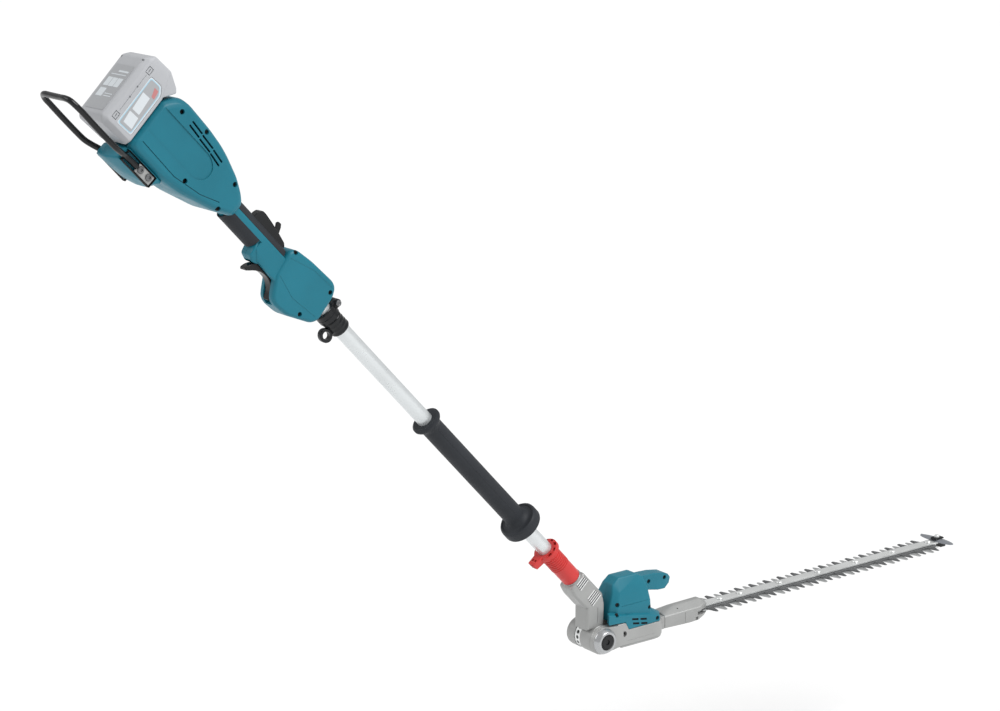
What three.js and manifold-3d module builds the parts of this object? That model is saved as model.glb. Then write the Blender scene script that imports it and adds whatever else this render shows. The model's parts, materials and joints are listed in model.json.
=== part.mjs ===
// Battery pole hedge trimmer with a folding cutting head.
// Millimetres, +Z up, +X along the blade (forward), +Y to the tool's left.
// The origin is the centre of the hanger eye, which carries the tool.
// Two working frames are used:
//   head frame  - origin on the fold hinge's axis, axes parallel to the row frame;
//   pole frame  - x runs down the pole towards the head, z to the tool's top side.
// A place on the pole is given by its station t, the distance up the pole from the foot of
// the hinge's perpendicular, so x = -t, and by its height v over the pole's centre line.

import * as THREE from "three";
import { mergeVertices } from "three/addons/utils/BufferGeometryUtils.js";
import { ConvexGeometry } from "three/addons/geometries/ConvexGeometry.js";
import Module from "manifold-3d";

const wasm = await Module();
wasm.setup();

// ---------------------------------------------------------------- driving dimensions
const GAP = 0.3;                    // clearance kept between neighbouring pieces

const POLE_ANGLE = THREE.MathUtils.degToRad(47.3);  // pole above the horizontal
const POLE_OFFSET = 42.75;          // pole centre line to the hinge axis
const PIPE_R = 12.7;
const PIPE_WALL = 1.5;
const PIPE_FOOT = 84;               // station of the pipe's end in the neck
const PIPE_HEAD = 905;              // station of the pipe's end in the handle block
const SLIP_R = PIPE_R + GAP;        // bore of everything that sits on the pipe

const EYE_STATION = 801;
const EYE_HEIGHT = -25;

const SHELL_WALL = 3.2;
const HANDLE_HALF_WIDTH = 17;
const HANDLE_HALF_HEIGHT = 20;
const GRIP_SKIN = 3;
const STRIP_LOW = -3.3;             // the bare strip of the handle between its grips
const STRIP_HIGH = 6.7;
const REAR_BODY_HALF_WIDTH = 42;
const BLOCK_HALF_WIDTH = 20.5;

const BATTERY_STATION = 1276.5;     // front face of the battery
const BATTERY_HEIGHT = -10;
const BATTERY_TILT = THREE.MathUtils.degToRad(3.5);
const BATTERY_HALF_WIDTH = 40;

const GUARD_ROD_R = 4.4;
const GUARD_HALF_WIDTH = 47;
const GUARD_END = 1386;             // station of the loop's cross bar
const BRACKET_Y = 36;               // outer face of the guard brackets

const TRIGGER_PIVOT = [935, -23.5];
const LEVER_PIVOT = [964, 17];
const REVERSE_PIVOT = [971, 11];

const HINGE_R = 25;
const HINGE_NEAR = -40;             // outer faces of the hinge along Y
const HINGE_FAR = 42;
const DRUM_NEAR = -22;
const DRUM_FAR = 5;
const RING_R = 24;
const RING_FAR = 19.6;
const PIVOT_R = 8;
const INDEX_HOLES = 7;
const INDEX_STEP = THREE.MathUtils.degToRad(22.5);
const PIN_Y = 12.5;
const PIN_R = 3;

const MOTOR_X = 57;
const CRANK_X = 92;
const GEAR_R = 27.8;
const GEAR_TEETH = 24;
const THROW = 6.75;                 // crank throw: half the stroke of each blade
const ECCENTRIC_R = 9.5;
const CASE_HALF_WIDTH = 34;
const CASE_TOP = 10;
const CASE_BOTTOM = -17;
const BULGE_X = 110;

const NOSE_START = 144.6;
const NOSE_END = 256;
const NOSE_HALF_WIDTH = 20;

const TOOTH_PITCH = 35;
const TOOTH_TIP_Y = 36.4;
const SPINE_HALF_WIDTH = 15.5;
const TANG_HALF_WIDTH = 12;         // blade width inside the nose
const FIRST_TOOTH_X = 253;
const TEETH_A_SIDE = 17;
const BLADE_THICKNESS = 2.2;
const BLADE_END = 829;
const BAR_BOTTOM = 2.65;
const BAR_TOP = 6.17;
const BAR_HALF_WIDTH = 10;
const BAR_END = 852;
const BOLT_PITCH = 96.74;
const BOLT_STEPS = [-0.5, 0, 1, 2, 3, 4, 5];  // bolts, in pitches from the second one
const SECOND_BOLT_X = 337.3;
const BOLT_SHANK_R = 3.8;

// ---------------------------------------------------------------- materials
const look = (color, roughness, metalness = 0) =>
  new THREE.MeshStandardMaterial({ color, roughness, metalness });
const teal = look(0x3f8ea2, 0.55);
const rubber = look(0x2b2e33, 0.85);
const blackPlastic = look(0x15171a, 0.35);
const greyPlastic = look(0xb9bbbd, 0.6);
const redPlastic = look(0xe04444, 0.5);
const pipeMetal = look(0xd9dddd, 0.3, 0.9);
const castMetal = look(0xa5a7a5, 0.5, 0.7);
const brightSteel = look(0xc8ccd0, 0.25, 1);
const darkSteel = look(0x55595c, 0.4, 0.9);
const blackSteel = look(0x17181a, 0.4, 0.6);
const copper = look(0xb06a3b, 0.4, 0.8);
const board = look(0x2f5b3c, 0.7);

// ---------------------------------------------------------------- solids and geometry helpers
// A closed geometry as a solid whose faces point out.
function solid(geometry) {
  const bare = geometry.clone();
  bare.deleteAttribute("normal");
  bare.deleteAttribute("uv");
  const welded = mergeVertices(bare, 1e-4);
  const vertProperties = welded.attributes.position.array;
  const triVerts = new Uint32Array(welded.index.array);
  const shape = new wasm.Manifold(new wasm.Mesh({ numProp: 3, vertProperties, triVerts }));
  if (shape.volume() > 0) return shape;
  return new wasm.Manifold(
    new wasm.Mesh({ numProp: 3, vertProperties, triVerts: triVerts.reverse() }));
}

function geometryOf(shape) {
  const { vertProperties, triVerts } = shape.getMesh();
  const geometry = new THREE.BufferGeometry();
  geometry.setAttribute("position", new THREE.BufferAttribute(new Float32Array(vertProperties), 3));
  geometry.setIndex(new THREE.BufferAttribute(new Uint32Array(triVerts), 1));
  geometry.computeVertexNormals();
  return geometry;
}

const join = (first, ...rest) => rest.reduce((sum, part) => sum.add(part), first);
const cut = (first, ...rest) => rest.reduce((left, part) => left.subtract(part), first);

function box([x0, x1], [y0, y1], [z0, z1]) {
  const geometry = new THREE.BoxGeometry(x1 - x0, y1 - y0, z1 - z0);
  geometry.translate((x0 + x1) / 2, (y0 + y1) / 2, (z0 + z1) / 2);
  return solid(geometry);
}

// A cylinder or cone along an axis; centre gives the two other coordinates in x, y, z order.
function rod(axis, radius, [from, to], centre = [0, 0], { sides = 24, endRadius = radius } = {}) {
  const geometry = new THREE.CylinderGeometry(endRadius, radius, to - from, sides);
  const middle = (from + to) / 2;
  if (axis === "x") geometry.rotateZ(-Math.PI / 2).translate(middle, ...centre);
  if (axis === "y") geometry.translate(centre[0], middle, centre[1]);
  if (axis === "z") geometry.rotateX(Math.PI / 2).translate(...centre, middle);
  return solid(geometry);
}

// A turned piece about the x, y or z axis from [radius, place] pairs of one closed outline.
function turned(axis, outline, sides = 24) {
  const points = outline.map(([radius, place]) => new THREE.Vector2(radius, place));
  if (outline[0][0] > 0) points.push(points[0].clone());
  const geometry = new THREE.LatheGeometry(points, sides);
  if (axis === "x") geometry.rotateZ(-Math.PI / 2);
  if (axis === "z") geometry.rotateX(Math.PI / 2);
  return solid(geometry);
}

// An outline in the x-z plane, given as a Shape, drawn out along Y.
function slab(shape, [y0, y1], curveSegments = 6) {
  const geometry = new THREE.ExtrudeGeometry(shape, { depth: y1 - y0, bevelEnabled: false, curveSegments });
  geometry.rotateX(Math.PI / 2).translate(0, y1, 0);
  return solid(geometry);
}

// An outline in the x-y plane drawn out along Z.
function plate(shape, [z0, z1], curveSegments = 6) {
  const geometry = new THREE.ExtrudeGeometry(shape, { depth: z1 - z0, bevelEnabled: false, curveSegments });
  geometry.translate(0, 0, z0);
  return solid(geometry);
}

const outlineOf = (points) => new THREE.Shape(points.map(([a, b]) => new THREE.Vector2(a, b)));

// The convex body around points [x, y, z]; both() adds each point's mirror across the fold plane.
const hull = (points) => solid(new ConvexGeometry(points.map((p) => new THREE.Vector3(...p))));
const both = (points) => points.flatMap(([x, y, z]) => [[x, y, z], [x, -y, z]]);

// A convex outline [x, z] with a full-size middle and smaller outer faces.
function pillow(outline, halfWidth, shoulder, inset) {
  const box2 = new THREE.Box2().setFromPoints(outline.map(([x, z]) => new THREE.Vector2(x, z)));
  const centre = box2.getCenter(new THREE.Vector2());
  const size = box2.getSize(new THREE.Vector2());
  const shrink = (x, z) => [
    centre.x + (x - centre.x) * (1 - 2 * inset / size.x),
    centre.y + (z - centre.y) * (1 - 2 * inset / size.y)];
  const points = outline.flatMap(([x, z]) => {
    const [sx, sz] = shrink(x, z);
    return [[x, halfWidth - shoulder, z], [sx, halfWidth, sz]];
  });
  return hull(both(points));
}

// The same body with every wall moved in by about the given thickness.
function hollowOf(shape, wall) {
  const { min, max } = shape.boundingBox();
  const centre = min.map((low, i) => (low + max[i]) / 2);
  const factor = min.map((low, i) => 1 - 2 * wall / (max[i] - low));
  const back = shape.translate(centre.map((c) => -c)).scale(factor);
  return back.translate(centre);
}

// A round rod bent along a curve.
function bentRod(curve, radius, steps, halfSides = 4) {
  const section = new THREE.Shape();
  section.absarc(0, 0, radius, 0, 2 * Math.PI);
  const geometry = new THREE.ExtrudeGeometry(
    section, { steps, extrudePath: curve, curveSegments: halfSides });
  return solid(geometry);
}

const stations = (points) => points.map(([t, v]) => [-t, v]);
const span = (low, high) => [-high, -low];   // a stretch of stations as an x range

function piece(name, shape, material) {
  const mesh = new THREE.Mesh(geometryOf(shape), material);
  mesh.name = name;
  return mesh;
}

const POLE_FRAME = new THREE.Matrix4().makeRotationY(POLE_ANGLE);
const POLE_FOOT = new THREE.Vector3(0, 0, POLE_OFFSET).applyMatrix4(POLE_FRAME);
const EYE_IN_HEAD = new THREE.Vector3(-EYE_STATION, 0, EYE_HEIGHT)
  .applyMatrix4(POLE_FRAME).add(POLE_FOOT);

// A pole-frame solid moved into the head frame.
const intoHeadFrame = (shape) =>
  shape.rotate([0, THREE.MathUtils.radToDeg(POLE_ANGLE), 0]).translate(POLE_FOOT.toArray());

// ---------------------------------------------------------------- rear housing and handle
const REAR_OUTLINE = stations([
  [1276.9, 25.5], [1264.6, 42.2], [1254, 50], [1240, 52.5], [1192, 50.5], [1162, 47],
  [1142, 42.5], [1107, 31], [1085, 19], [1071.7, 8], [1071.7, -14], [1102, -30],
  [1160, -49], [1200, -56], [1266, -57], [1273, -50]]);

const BLOCK_OUTLINE = stations([
  [953, 21], [943, 29], [911, 34], [860, 37], [850, 33], [843, 20], [838, -22],
  [845, -33], [887, -53], [913, -55.5], [923, -52.5], [929, -46], [946, -22]]);

const ellipseRod = (halfWidth, halfHeight, [low, high]) =>
  solid(new THREE.CylinderGeometry(1, 1, 1, 24)
    .rotateZ(-Math.PI / 2)
    .scale(high - low, halfWidth, halfHeight)
    .translate(-(low + high) / 2, 0, 0));

function guardBase() {
  return hull(both([
    [-1280, 11, -63], [-1278, 11, -84], [-1268, 37, -56], [-1268, 37, -75],
    [-1208, 37, -56], [-1208, 37, -73], [-1244, 11, -82], [-1199, 11, -73],
    [-1190, 30, -55], [-1190, 11, -62]]));
}

function bracketRecess(side) {
  const y = side < 0 ? [-60, -BRACKET_Y + 5.2] : [BRACKET_Y - 5.2, 60];
  return box(span(1206, 1272), y, [-76.5, -57.5]);
}

function handleCore() {
  const coreWidth = HANDLE_HALF_WIDTH - GRIP_SKIN;
  const coreHeight = HANDLE_HALF_HEIGHT - GRIP_SKIN;
  const stretch = [930, 1085];
  const strip = box(span(...stretch), [-60, 60], [STRIP_LOW, STRIP_HIGH]);
  const full = ellipseRod(HANDLE_HALF_WIDTH, HANDLE_HALF_HEIGHT, stretch);
  return join(ellipseRod(coreWidth, coreHeight, stretch), full.intersect(strip));
}

const triggerBridge = () => join(
  hull(both([
    [-926, 18, -30], [-926, 18, 6.7], [-999, 17, 6.7], [-999, 17, -16], [-985, 14, -27],
    [-957, 17.5, -24], [-944, 18, -28]])),
  hull(both([
    [-1002.5, 10, -16], [-1002.5, 10, 0], [-1000, 16, -16], [-998, 13, -29], [-987, 11, -33],
    [-977, 12, -29], [-970, 16, -16], [-970, 16, 0]])));

function housingBody() {
  const rear = pillow(REAR_OUTLINE, REAR_BODY_HALF_WIDTH, 14, 11);
  const block = pillow(BLOCK_OUTLINE, BLOCK_HALF_WIDTH, 7, 6);
  const blockHollow = hollowOf(block, SHELL_WALL);
  const ribs = [866, 893].map((t) =>
    cut(block.intersect(box(span(t, t + 3), [-60, 60], [-90, 60])),
      rod("x", SLIP_R, span(t - 1, t + 4), [0, 0])));
  const body = join(rear, guardBase(), handleCore(), triggerBridge(), block);
  const hollow = cut(body,
    hollowOf(rear, SHELL_WALL),
    blockHollow,
    ellipseRod(11, 13, [928, 1100]),
    rod("x", SLIP_R, span(830, 875), [0, 0]),
    bracketRecess(-1),
    bracketRecess(1));
  const slots = [
    box(span(912, 990), [-8.5, 8.5], [-70, -5]),       // trigger
    box(span(955.5, 1036), [-7.3, 7.3], [6, 60]),       // lock-off lever
    box(span(957, 990), [8.3, 13.3], [4, 60])];         // reverse lever
  const railSlot = inBatteryFrame(box([-1, 8], [-28, 28], [-47, 90]));
  const screwHoles = GUARD_SCREWS.flatMap(([t, v]) => [-1, 1].map((side) =>
    rod("y", 2.4, side < 0 ? [-33, -24] : [24, 33], [-t, v], { sides: 10 })));
  const pinHole = rod("y", 2.8, [-16, 16], [-TRIGGER_PIVOT[0], TRIGGER_PIVOT[1]], { sides: 12 });
  return cut(join(hollow, ...ribs), ...slots, railSlot, ...screwHoles, pinHole);
}

const largest = (shape) =>
  shape.decompose().reduce((best, next) => (next.volume() > best.volume() ? next : best));

function housingHalf(side) {
  const y = side < 0 ? [-70, -GAP / 2] : [GAP / 2, 70];
  return largest(housingBody().intersect(box(span(800, 1300), y, [-120, 90])));
}

function grip(isUpper) {
  const stretch = isUpper ? [953.4, 1071.4] : [1003, 1071.4];
  const skin = cut(
    ellipseRod(HANDLE_HALF_WIDTH, HANDLE_HALF_HEIGHT, stretch),
    ellipseRod(HANDLE_HALF_WIDTH - GRIP_SKIN + GAP, HANDLE_HALF_HEIGHT - GRIP_SKIN + GAP, [900, 1100]));
  if (!isUpper) return skin.intersect(box(span(...stretch), [-60, 60], [-60, STRIP_LOW - GAP]));
  const top = skin.intersect(box(span(...stretch), [-60, 60], [STRIP_HIGH + GAP, 60]));
  return largest(cut(top,
    box(span(940, 1036), [-7.3, 7.3], [0, 60]),
    box(span(957, 990), [7, 13.3], [0, 60])));
}

// ---------------------------------------------------------------- battery and what it plugs into
const BATTERY_PLACE = [-BATTERY_STATION, 0, BATTERY_HEIGHT];
const inBatteryFrame = (shape) =>
  shape.rotate([0, -THREE.MathUtils.radToDeg(BATTERY_TILT), 0]).translate(BATTERY_PLACE);

function batteryCase() {
  const pack = hull(both([
    [-0.4, 40, -40], [-0.4, 34, -47], [-0.4, 40, 36],
    [-50, 40, -38], [-50, 34, -47], [-57, 33, -38],
    [-50, 40, 62], [-57, 33, 63], [-47, 36, 75], [-14, 36, 75], [-14, 40, 62]]));
  const hook = hull(both([
    [-2, 38, 36], [-18, 38, 36], [13.5, 36, 57], [8, 36, 63], [-14, 36, 75], [-18, 36, 75]]));
  const rail = box([-2, 7.5], [-26, 26], [-40, 34]);
  const buttonRecess = box([-34, -18], [-13, 13], [68, 80]);
  return cut(join(pack, hook, rail), buttonRecess);
}

const batteryButton = () => hull(both([
  [-33.5, 12.5, 72.5], [-18.5, 12.5, 72.5], [-32, 11, 78], [-20, 11, 78]]));

const terminalBlock = () => inBatteryFrame(join(
  box([8.4, 14], [-24, 24], [-38, 28]),
  box([14, 20], [-16, 16], [-30, 20])));

function controller() {
  const base = box(span(1130, 1196), [-24, 24], [-14, 4]);
  const fins = [-18, -9, 0, 9, 18].map((y) => box(span(1132, 1194), [y - 1.5, y + 1.5], [4, 14]));
  return join(base, ...fins);
}

// ---------------------------------------------------------------- trigger and levers
const switchUnit = () => join(
  box(span(938, 980), [-5.6, 5.6], [-2.5, 8]),
  box(span(948, 954), [-2, 2], [-4.5, -2.5]));

function trigger() {
  const shape = new THREE.Shape();
  shape.moveTo(-987, -46);
  shape.quadraticCurveTo(-986, -34, -974, -25);
  shape.quadraticCurveTo(-960, -17, -940, -15);
  shape.lineTo(-930, -17);
  shape.quadraticCurveTo(-923, -23, -916, -49);
  shape.lineTo(-922, -54);
  shape.quadraticCurveTo(-929, -40, -937, -35);
  shape.quadraticCurveTo(-947, -29, -960, -32);
  shape.quadraticCurveTo(-970, -35, -978, -43);
  shape.lineTo(-984, -48);
  const hole = rod("y", 2.8, [-12, 12], [-TRIGGER_PIVOT[0], TRIGGER_PIVOT[1]], { sides: 12 });
  return cut(slab(shape, [-8, 8], 5), hole);
}

const triggerPin = () =>
  rod("y", 2.5, [-15.5, 15.5], [-TRIGGER_PIVOT[0], TRIGGER_PIVOT[1]], { sides: 12 });

const lockOffLever = () => slab(outlineOf(stations([
  [957, 13], [957, 21], [962, 25], [980, 29], [1000, 32.5], [1016, 34.5],
  [1023, 34.5], [1028, 31], [1030, 25], [1030, 15], [1000, 13]])), [-6.8, 6.8]);

const reverseLever = () => slab(outlineOf(stations([
  [966, 7], [966, 16], [969, 31], [974, 42], [977.5, 46], [983, 45.5],
  [985, 42], [981, 36], [977, 30], [976, 16], [976, 7]])), [8.8, 12.8]);

// ---------------------------------------------------------------- guard loop
const GUARD_SCREWS = [[1233.5, -66.5], [1216.5, -65.5]];

// The loop's right half, hand placed; the left half mirrors it.
const GUARD_ROUTE = [
  [1240.4, BRACKET_Y - 0.2, -67], [1255, BRACKET_Y - 0.2, -67.5], [1266, BRACKET_Y + 0.5, -68.5],
  [1277, 42, -71], [1289, GUARD_HALF_WIDTH - 0.6, -73], [1305, GUARD_HALF_WIDTH, -73.5],
  [1335, GUARD_HALF_WIDTH, -73.5], [1362, GUARD_HALF_WIDTH, -73], [1375, 45.5, -73],
  [1383, 40, -72.5], [GUARD_END, 31, -72.5], [GUARD_END, 14, -72.5]];

function guardLoop() {
  const right = GUARD_ROUTE.map(([t, y, v]) => new THREE.Vector3(-t, -y, v));
  const left = GUARD_ROUTE.map(([t, y, v]) => new THREE.Vector3(-t, y, v)).reverse();
  return bentRod(new THREE.CatmullRomCurve3([...right, ...left], false, "centripetal"), GUARD_ROD_R, 38);
}

function guardBracket(side) {
  const y = side < 0 ? [-BRACKET_Y, -BRACKET_Y + 4.2] : [BRACKET_Y - 4.2, BRACKET_Y];
  const body = box(span(1208, 1240), y, [-74.5, -59.5]);
  const holes = GUARD_SCREWS.map(([t, v]) => rod("y", 2.4, [y[0] - 1, y[1] + 1], [-t, v], { sides: 10 }));
  return cut(body, ...holes);
}

function guardScrew([t, v], side) {
  const profile = [[0, -25], [2.1, -25], [2.1, -BRACKET_Y - GAP], [4.3, -BRACKET_Y - GAP],
    [4.3, -BRACKET_Y - 2], [2.6, -BRACKET_Y - 3], [0, -BRACKET_Y - 3]];
  const screw = turned("y", profile, 8).translate([-t, 0, v]);
  return side < 0 ? screw : screw.mirror([0, 1, 0]);
}

// ---------------------------------------------------------------- pole and what sits on it
const polePipe = () => turned("x", [
  [PIPE_R, -PIPE_HEAD], [PIPE_R, -PIPE_FOOT],
  [PIPE_R - PIPE_WALL, -PIPE_FOOT], [PIPE_R - PIPE_WALL, -PIPE_HEAD]]);

function hangerClamp() {
  const eye = new THREE.Shape();
  eye.absellipse(-EYE_STATION, EYE_HEIGHT, 12, 10.8, 0, 2 * Math.PI);
  const hole = new THREE.Path();
  hole.absellipse(-EYE_STATION, EYE_HEIGHT, 7, 6.2, 0, 2 * Math.PI);
  eye.holes.push(hole);
  const body = join(
    rod("x", 16.6, span(787, 816), [0, 0]),
    rod("x", 18, span(815, 833), [0, 0]),
    box(span(819, 832), [-9.5, 9.5], [8, 23]),
    rod("y", 6.5, [-9.5, 9.5], [-825.5, 21.5], { sides: 16 }),
    slab(eye, [-4.5, 4.5], 9));
  return cut(body,
    rod("x", SLIP_R, span(780, 840), [0, 0]),
    box(span(780, 840), [-0.8, 0.8], [4, 40]),
    rod("y", 2.9, [-20, 20], [-825.5, 21.5], { sides: 12 }));
}

const hangerBolt = () => turned("y", [
  [0, -13.6], [4.7, -13.6], [4.7, -9.8], [2.6, -9.8], [2.6, 9.8], [4.7, 9.8], [4.7, 13.2], [0, 13.2]], 12)
  .translate([-825.5, 0, 21.5]);

const frontGrip = () => turned("x", [
  [SLIP_R, -268], [31, -268], [34, -270], [34, -277], [32, -283], [21, -295], [17.7, -301],
  [17.7, -540], [19, -544], [25, -551], [25, -555], [22, -557], [SLIP_R, -557]].reverse());

function lockSleeve() {
  const body = turned("x", [
    [13.1, -118.2], [16.5, -118.2], [16.5, -188], [22.5, -192], [22.5, -199], [19, -201], [13.1, -201]].reverse());
  const tab = hull(both([
    [-189, 8, -16], [-199, 9, -16], [-190, 6, -34], [-208, 7, -34], [-204, 8, -16]]));
  return join(body, cut(tab, rod("x", 14, span(180, 215), [0, 0])));
}

function lockPin() {
  const profile = [[0, 24.6], [PIN_R, 24.6], [PIN_R, 38], [4.8, 38], [4.8, 41], [1.8, 41], [1.8, 55.5], [0, 55.5]];
  return turned("z", profile, 12).translate([0, PIN_Y, 0]);
}

class Helix extends THREE.Curve {
  constructor(radius, low, high, turns, centre) {
    super();
    Object.assign(this, { radius, low, high, turns, centre });
  }

  getPoint(s, target = new THREE.Vector3()) {
    const angle = 2 * Math.PI * this.turns * s;
    const x = this.centre[0] + this.radius * Math.cos(angle);
    const y = this.centre[1] + this.radius * Math.sin(angle);
    return target.set(x, y, this.low + (this.high - this.low) * s);
  }
}

const pinSpring = () => bentRod(new Helix(3.5, 42.2, 61, 5, [0, PIN_Y]), 0.6, 42, 2);

function powerCable() {
  const route = [[1126, 9, 0], [1090, 9, 0], [1040, 9, 0], [990, 9, 0], [950, 9, 0], [925, 7, 0],
    [903, 2, 0], [885, 0, 0], [700, 0, 0], [400, 0, 0], [120, 0, 0], [92, 0, 0]];
  const curve = new THREE.CatmullRomCurve3(
    route.map(([t, y, v]) => new THREE.Vector3(-t, y, v)), false, "centripetal");
  return bentRod(curve, 1.6, 20, 3);
}

// ---------------------------------------------------------------- neck and hinge
function neckCasting() {
  const arm = intoHeadFrame(pillow(stations([
    [116, 17], [116, -20], [100, -24], [62, -24], [46, -14], [44, 8], [52, 17]]), 18, 6, 5));
  const collar = intoHeadFrame(rod("x", 17.5, span(98, 117.7), [0, 0]));
  const column = pillow(
    [[-27, 60], [-27, 19], [10.5, 19], [11.5, 60], [9, 73], [2, 84], [-12, 82]], 18, 6, 5);
  const drum = rod("y", HINGE_R, [DRUM_NEAR, DRUM_FAR], [0, 0], { sides: 24 });
  const ringRoom = rod("y", HINGE_R - 0.4, [DRUM_FAR, 45], [0, 0], { sides: 24 });
  return cut(join(cut(join(arm, collar, column), ringRoom), drum),
    intoHeadFrame(rod("x", SLIP_R, span(PIPE_FOOT - GAP, 125), [0, 0])),
    intoHeadFrame(rod("x", 5, span(52, 90), [0, 0], { sides: 12 })),
    rod("y", PIVOT_R + GAP, [-30, 10], [0, 0]),
    rod("z", PIN_R + 0.4, [15, 40], [0, PIN_Y], { sides: 12 }),
    rod("z", 5.3, [37.6, 62], [0, PIN_Y], { sides: 12 }));
}

function indexRing() {
  const ring = turned("y", [
    [PIVOT_R + 0.4, DRUM_FAR + GAP], [RING_R, DRUM_FAR + GAP], [RING_R, RING_FAR], [PIVOT_R + 0.4, RING_FAR]]
    .reverse(), 24);
  const holes = Array.from({ length: INDEX_HOLES }, (_, i) =>
    rod("z", PIN_R + 0.4, [18, 30], [0, PIN_Y], { sides: 8 })
      .rotate([0, -THREE.MathUtils.radToDeg(INDEX_STEP) * i, 0]));
  return cut(ring, ...holes);
}

const pivotBolt = () => turned("y", [
  [0, -35.6], [PIVOT_R, -35.6], [PIVOT_R, HINGE_FAR + GAP], [11.5, HINGE_FAR + GAP], [11.5, 46], [0, 46]].reverse());

function pivotCap() {
  const cap = rod("y", 13.5, [HINGE_NEAR + 0.2, -36.1], [0, 0]);
  return cut(cap, rod("y", 5, [HINGE_NEAR - 1, -38], [0, 0], { sides: 6 }));
}

// ---------------------------------------------------------------- gear case, nose and plates
const ringOf = (radius, y) => Array.from({ length: 24 }, (_, i) => {
  const angle = i * Math.PI / 12;
  return [radius * Math.cos(angle), y, radius * Math.sin(angle)];
});

function clevisArm([inner, outer], outerRadius) {
  const corners = [[34, -19.5], [34, 26.5], [24, 26.5]];
  return hull([
    ...ringOf(HINGE_R, inner),
    ...ringOf(outerRadius, outer),
    ...corners.flatMap(([x, z]) => [[x, inner, z], [x, Math.sign(outer) * CASE_HALF_WIDTH, z + (z < 0 ? 3 : -3)]])]);
}

function gearHousing() {
  const walls = join(
    clevisArm([DRUM_NEAR - GAP, -30], 23.5),
    clevisArm([RING_FAR + GAP, CASE_HALF_WIDTH], HINGE_R),
    rod("y", 18.5, [HINGE_NEAR, -26], [0, 0], { sides: 24, endRadius: HINGE_R }),
    rod("y", HINGE_R, [CASE_HALF_WIDTH, HINGE_FAR], [0, 0], { sides: 24, endRadius: 23.5 }),
    box([27.5, 44], [-CASE_HALF_WIDTH, CASE_HALF_WIDTH], [CASE_BOTTOM, 26.5]),
    box([40, BULGE_X], [-CASE_HALF_WIDTH, CASE_HALF_WIDTH], [CASE_BOTTOM, CASE_TOP]),
    rod("z", CASE_HALF_WIDTH, [CASE_BOTTOM, CASE_TOP], [BULGE_X, 0], { sides: 24 }),
    box([BULGE_X, NOSE_START - GAP], [-NOSE_HALF_WIDTH, NOSE_HALF_WIDTH], [-13, CASE_TOP]));
  const inner = CASE_HALF_WIDTH - 4;
  return cut(walls,
    box([48, BULGE_X], [-inner, inner], [CASE_BOTTOM - 1, CASE_TOP + 1]),
    rod("z", inner, [CASE_BOTTOM - 1, CASE_TOP + 1], [BULGE_X, 0], { sides: 24 }),
    box([BULGE_X, 160], [-13.5, 13.5], [-5.5, 7.2]),
    rod("y", PIVOT_R + GAP, [-50, 50], [0, 0]),
    rod("y", 13.8, [-45, -35.9], [0, 0]));
}

function bottomCover() {
  const low = [CASE_BOTTOM - 3, CASE_BOTTOM - GAP];
  const sheet = join(
    box([36, BULGE_X], [-CASE_HALF_WIDTH + 1, CASE_HALF_WIDTH - 1], low),
    rod("z", CASE_HALF_WIDTH - 1, low, [BULGE_X, 0], { sides: 24 }));
  const seat = rod("z", 12, [CASE_BOTTOM - 1, -9], [CRANK_X, 0]);
  return cut(join(sheet, seat), rod("z", 9.3, [-14.3, -5], [CRANK_X, 0]));
}

const motorPlate = () => cut(
  box([49, 121], [-26, 26], [CASE_TOP + 0.6, CASE_TOP + 3.4]),
  rod("z", 9.3, [0, 20], [CRANK_X, 0]),
  rod("z", 8, [0, 20], [MOTOR_X, 0]));

function noseCover() {
  const roof = 4;
  const side = NOSE_HALF_WIDTH;
  const body = hull(both([
    [NOSE_START, side, -13], [NOSE_START, side, 8.5], [NOSE_START, 8, 13],
    [NOSE_START + 12, roof, 15.5], [178, roof, 19.5], [236, roof, 20.5],
    [226, side, 9], [230, side, -6], [222, side, -14], [200, side, -15],
    [244, 14, 12], [245, 15, -4], [240, 13, -12], [228, 10, -15],
    [250, 6, 12], [NOSE_END, 4, 5], [NOSE_END, 4, -5], [249, 4, -12]]));
  return cut(body,
    box([130, 270], [-13.5, 13.5], [-4.5, 7.2]),
    box([221, 270], [-40, 40], [-4.5, 3.4]));
}

// ---------------------------------------------------------------- motor housing and motor
function tower(inset) {
  const h = inset;
  const points = both([
    [18 + h, 20 - h, 27], [30 + h, 28 - h, 27], [106 - h, 28 - h, 27], [113 - h, 18 - h, 27],
    [19 + h, 20 - h, 50], [31 + h, 28 - h, 50], [105 - h, 27 - h, 50], [111 - h, 17 - h, 50],
    [27 + h, 18 - h, 76 - h / 2], [38 + h, 24 - h, 76 - h / 2], [100 - h, 23 - h, 76 - h / 2],
    [107 - h, 14 - h, 76 - h / 2], [31 + h, 13 - h, 89 - h], [44 + h, 13 - h, 99 - h],
    [84 - h, 13 - h, 99 - h], [100 - h, 12 - h, 90 - h]]);
  return hull(points);
}

function ledges(inset) {
  const h = inset;
  const left = hull([
    [7 + h, 34 - h, 30], [7 + h, 34 - h, 44 - h], [13 + h, 22 + h, 45 - h], [13 + h, 22 + h, 30],
    [36, 34 - h, 38 - h], [48, 34 - h, 27], [48, 34 - h, 35.7 - h], [48, 20, 27], [48, 20, 40 - h]]);
  const front = hull(both([
    [44.5 + h, 34 - h, 10.6], [44.5 + h, 34 - h, 36.4 - h], [104, 34 - h, 25 - h], [122 - h, 33 - h, 10.6],
    [122 - h, 33 - h, 20 - h], [134 - h, 16 - h, 21 - h], [134 - h, 16 - h, 10.6], [112, 12, 34 - h]]));
  return join(front, left, left.mirror([0, 1, 0]));
}

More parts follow.
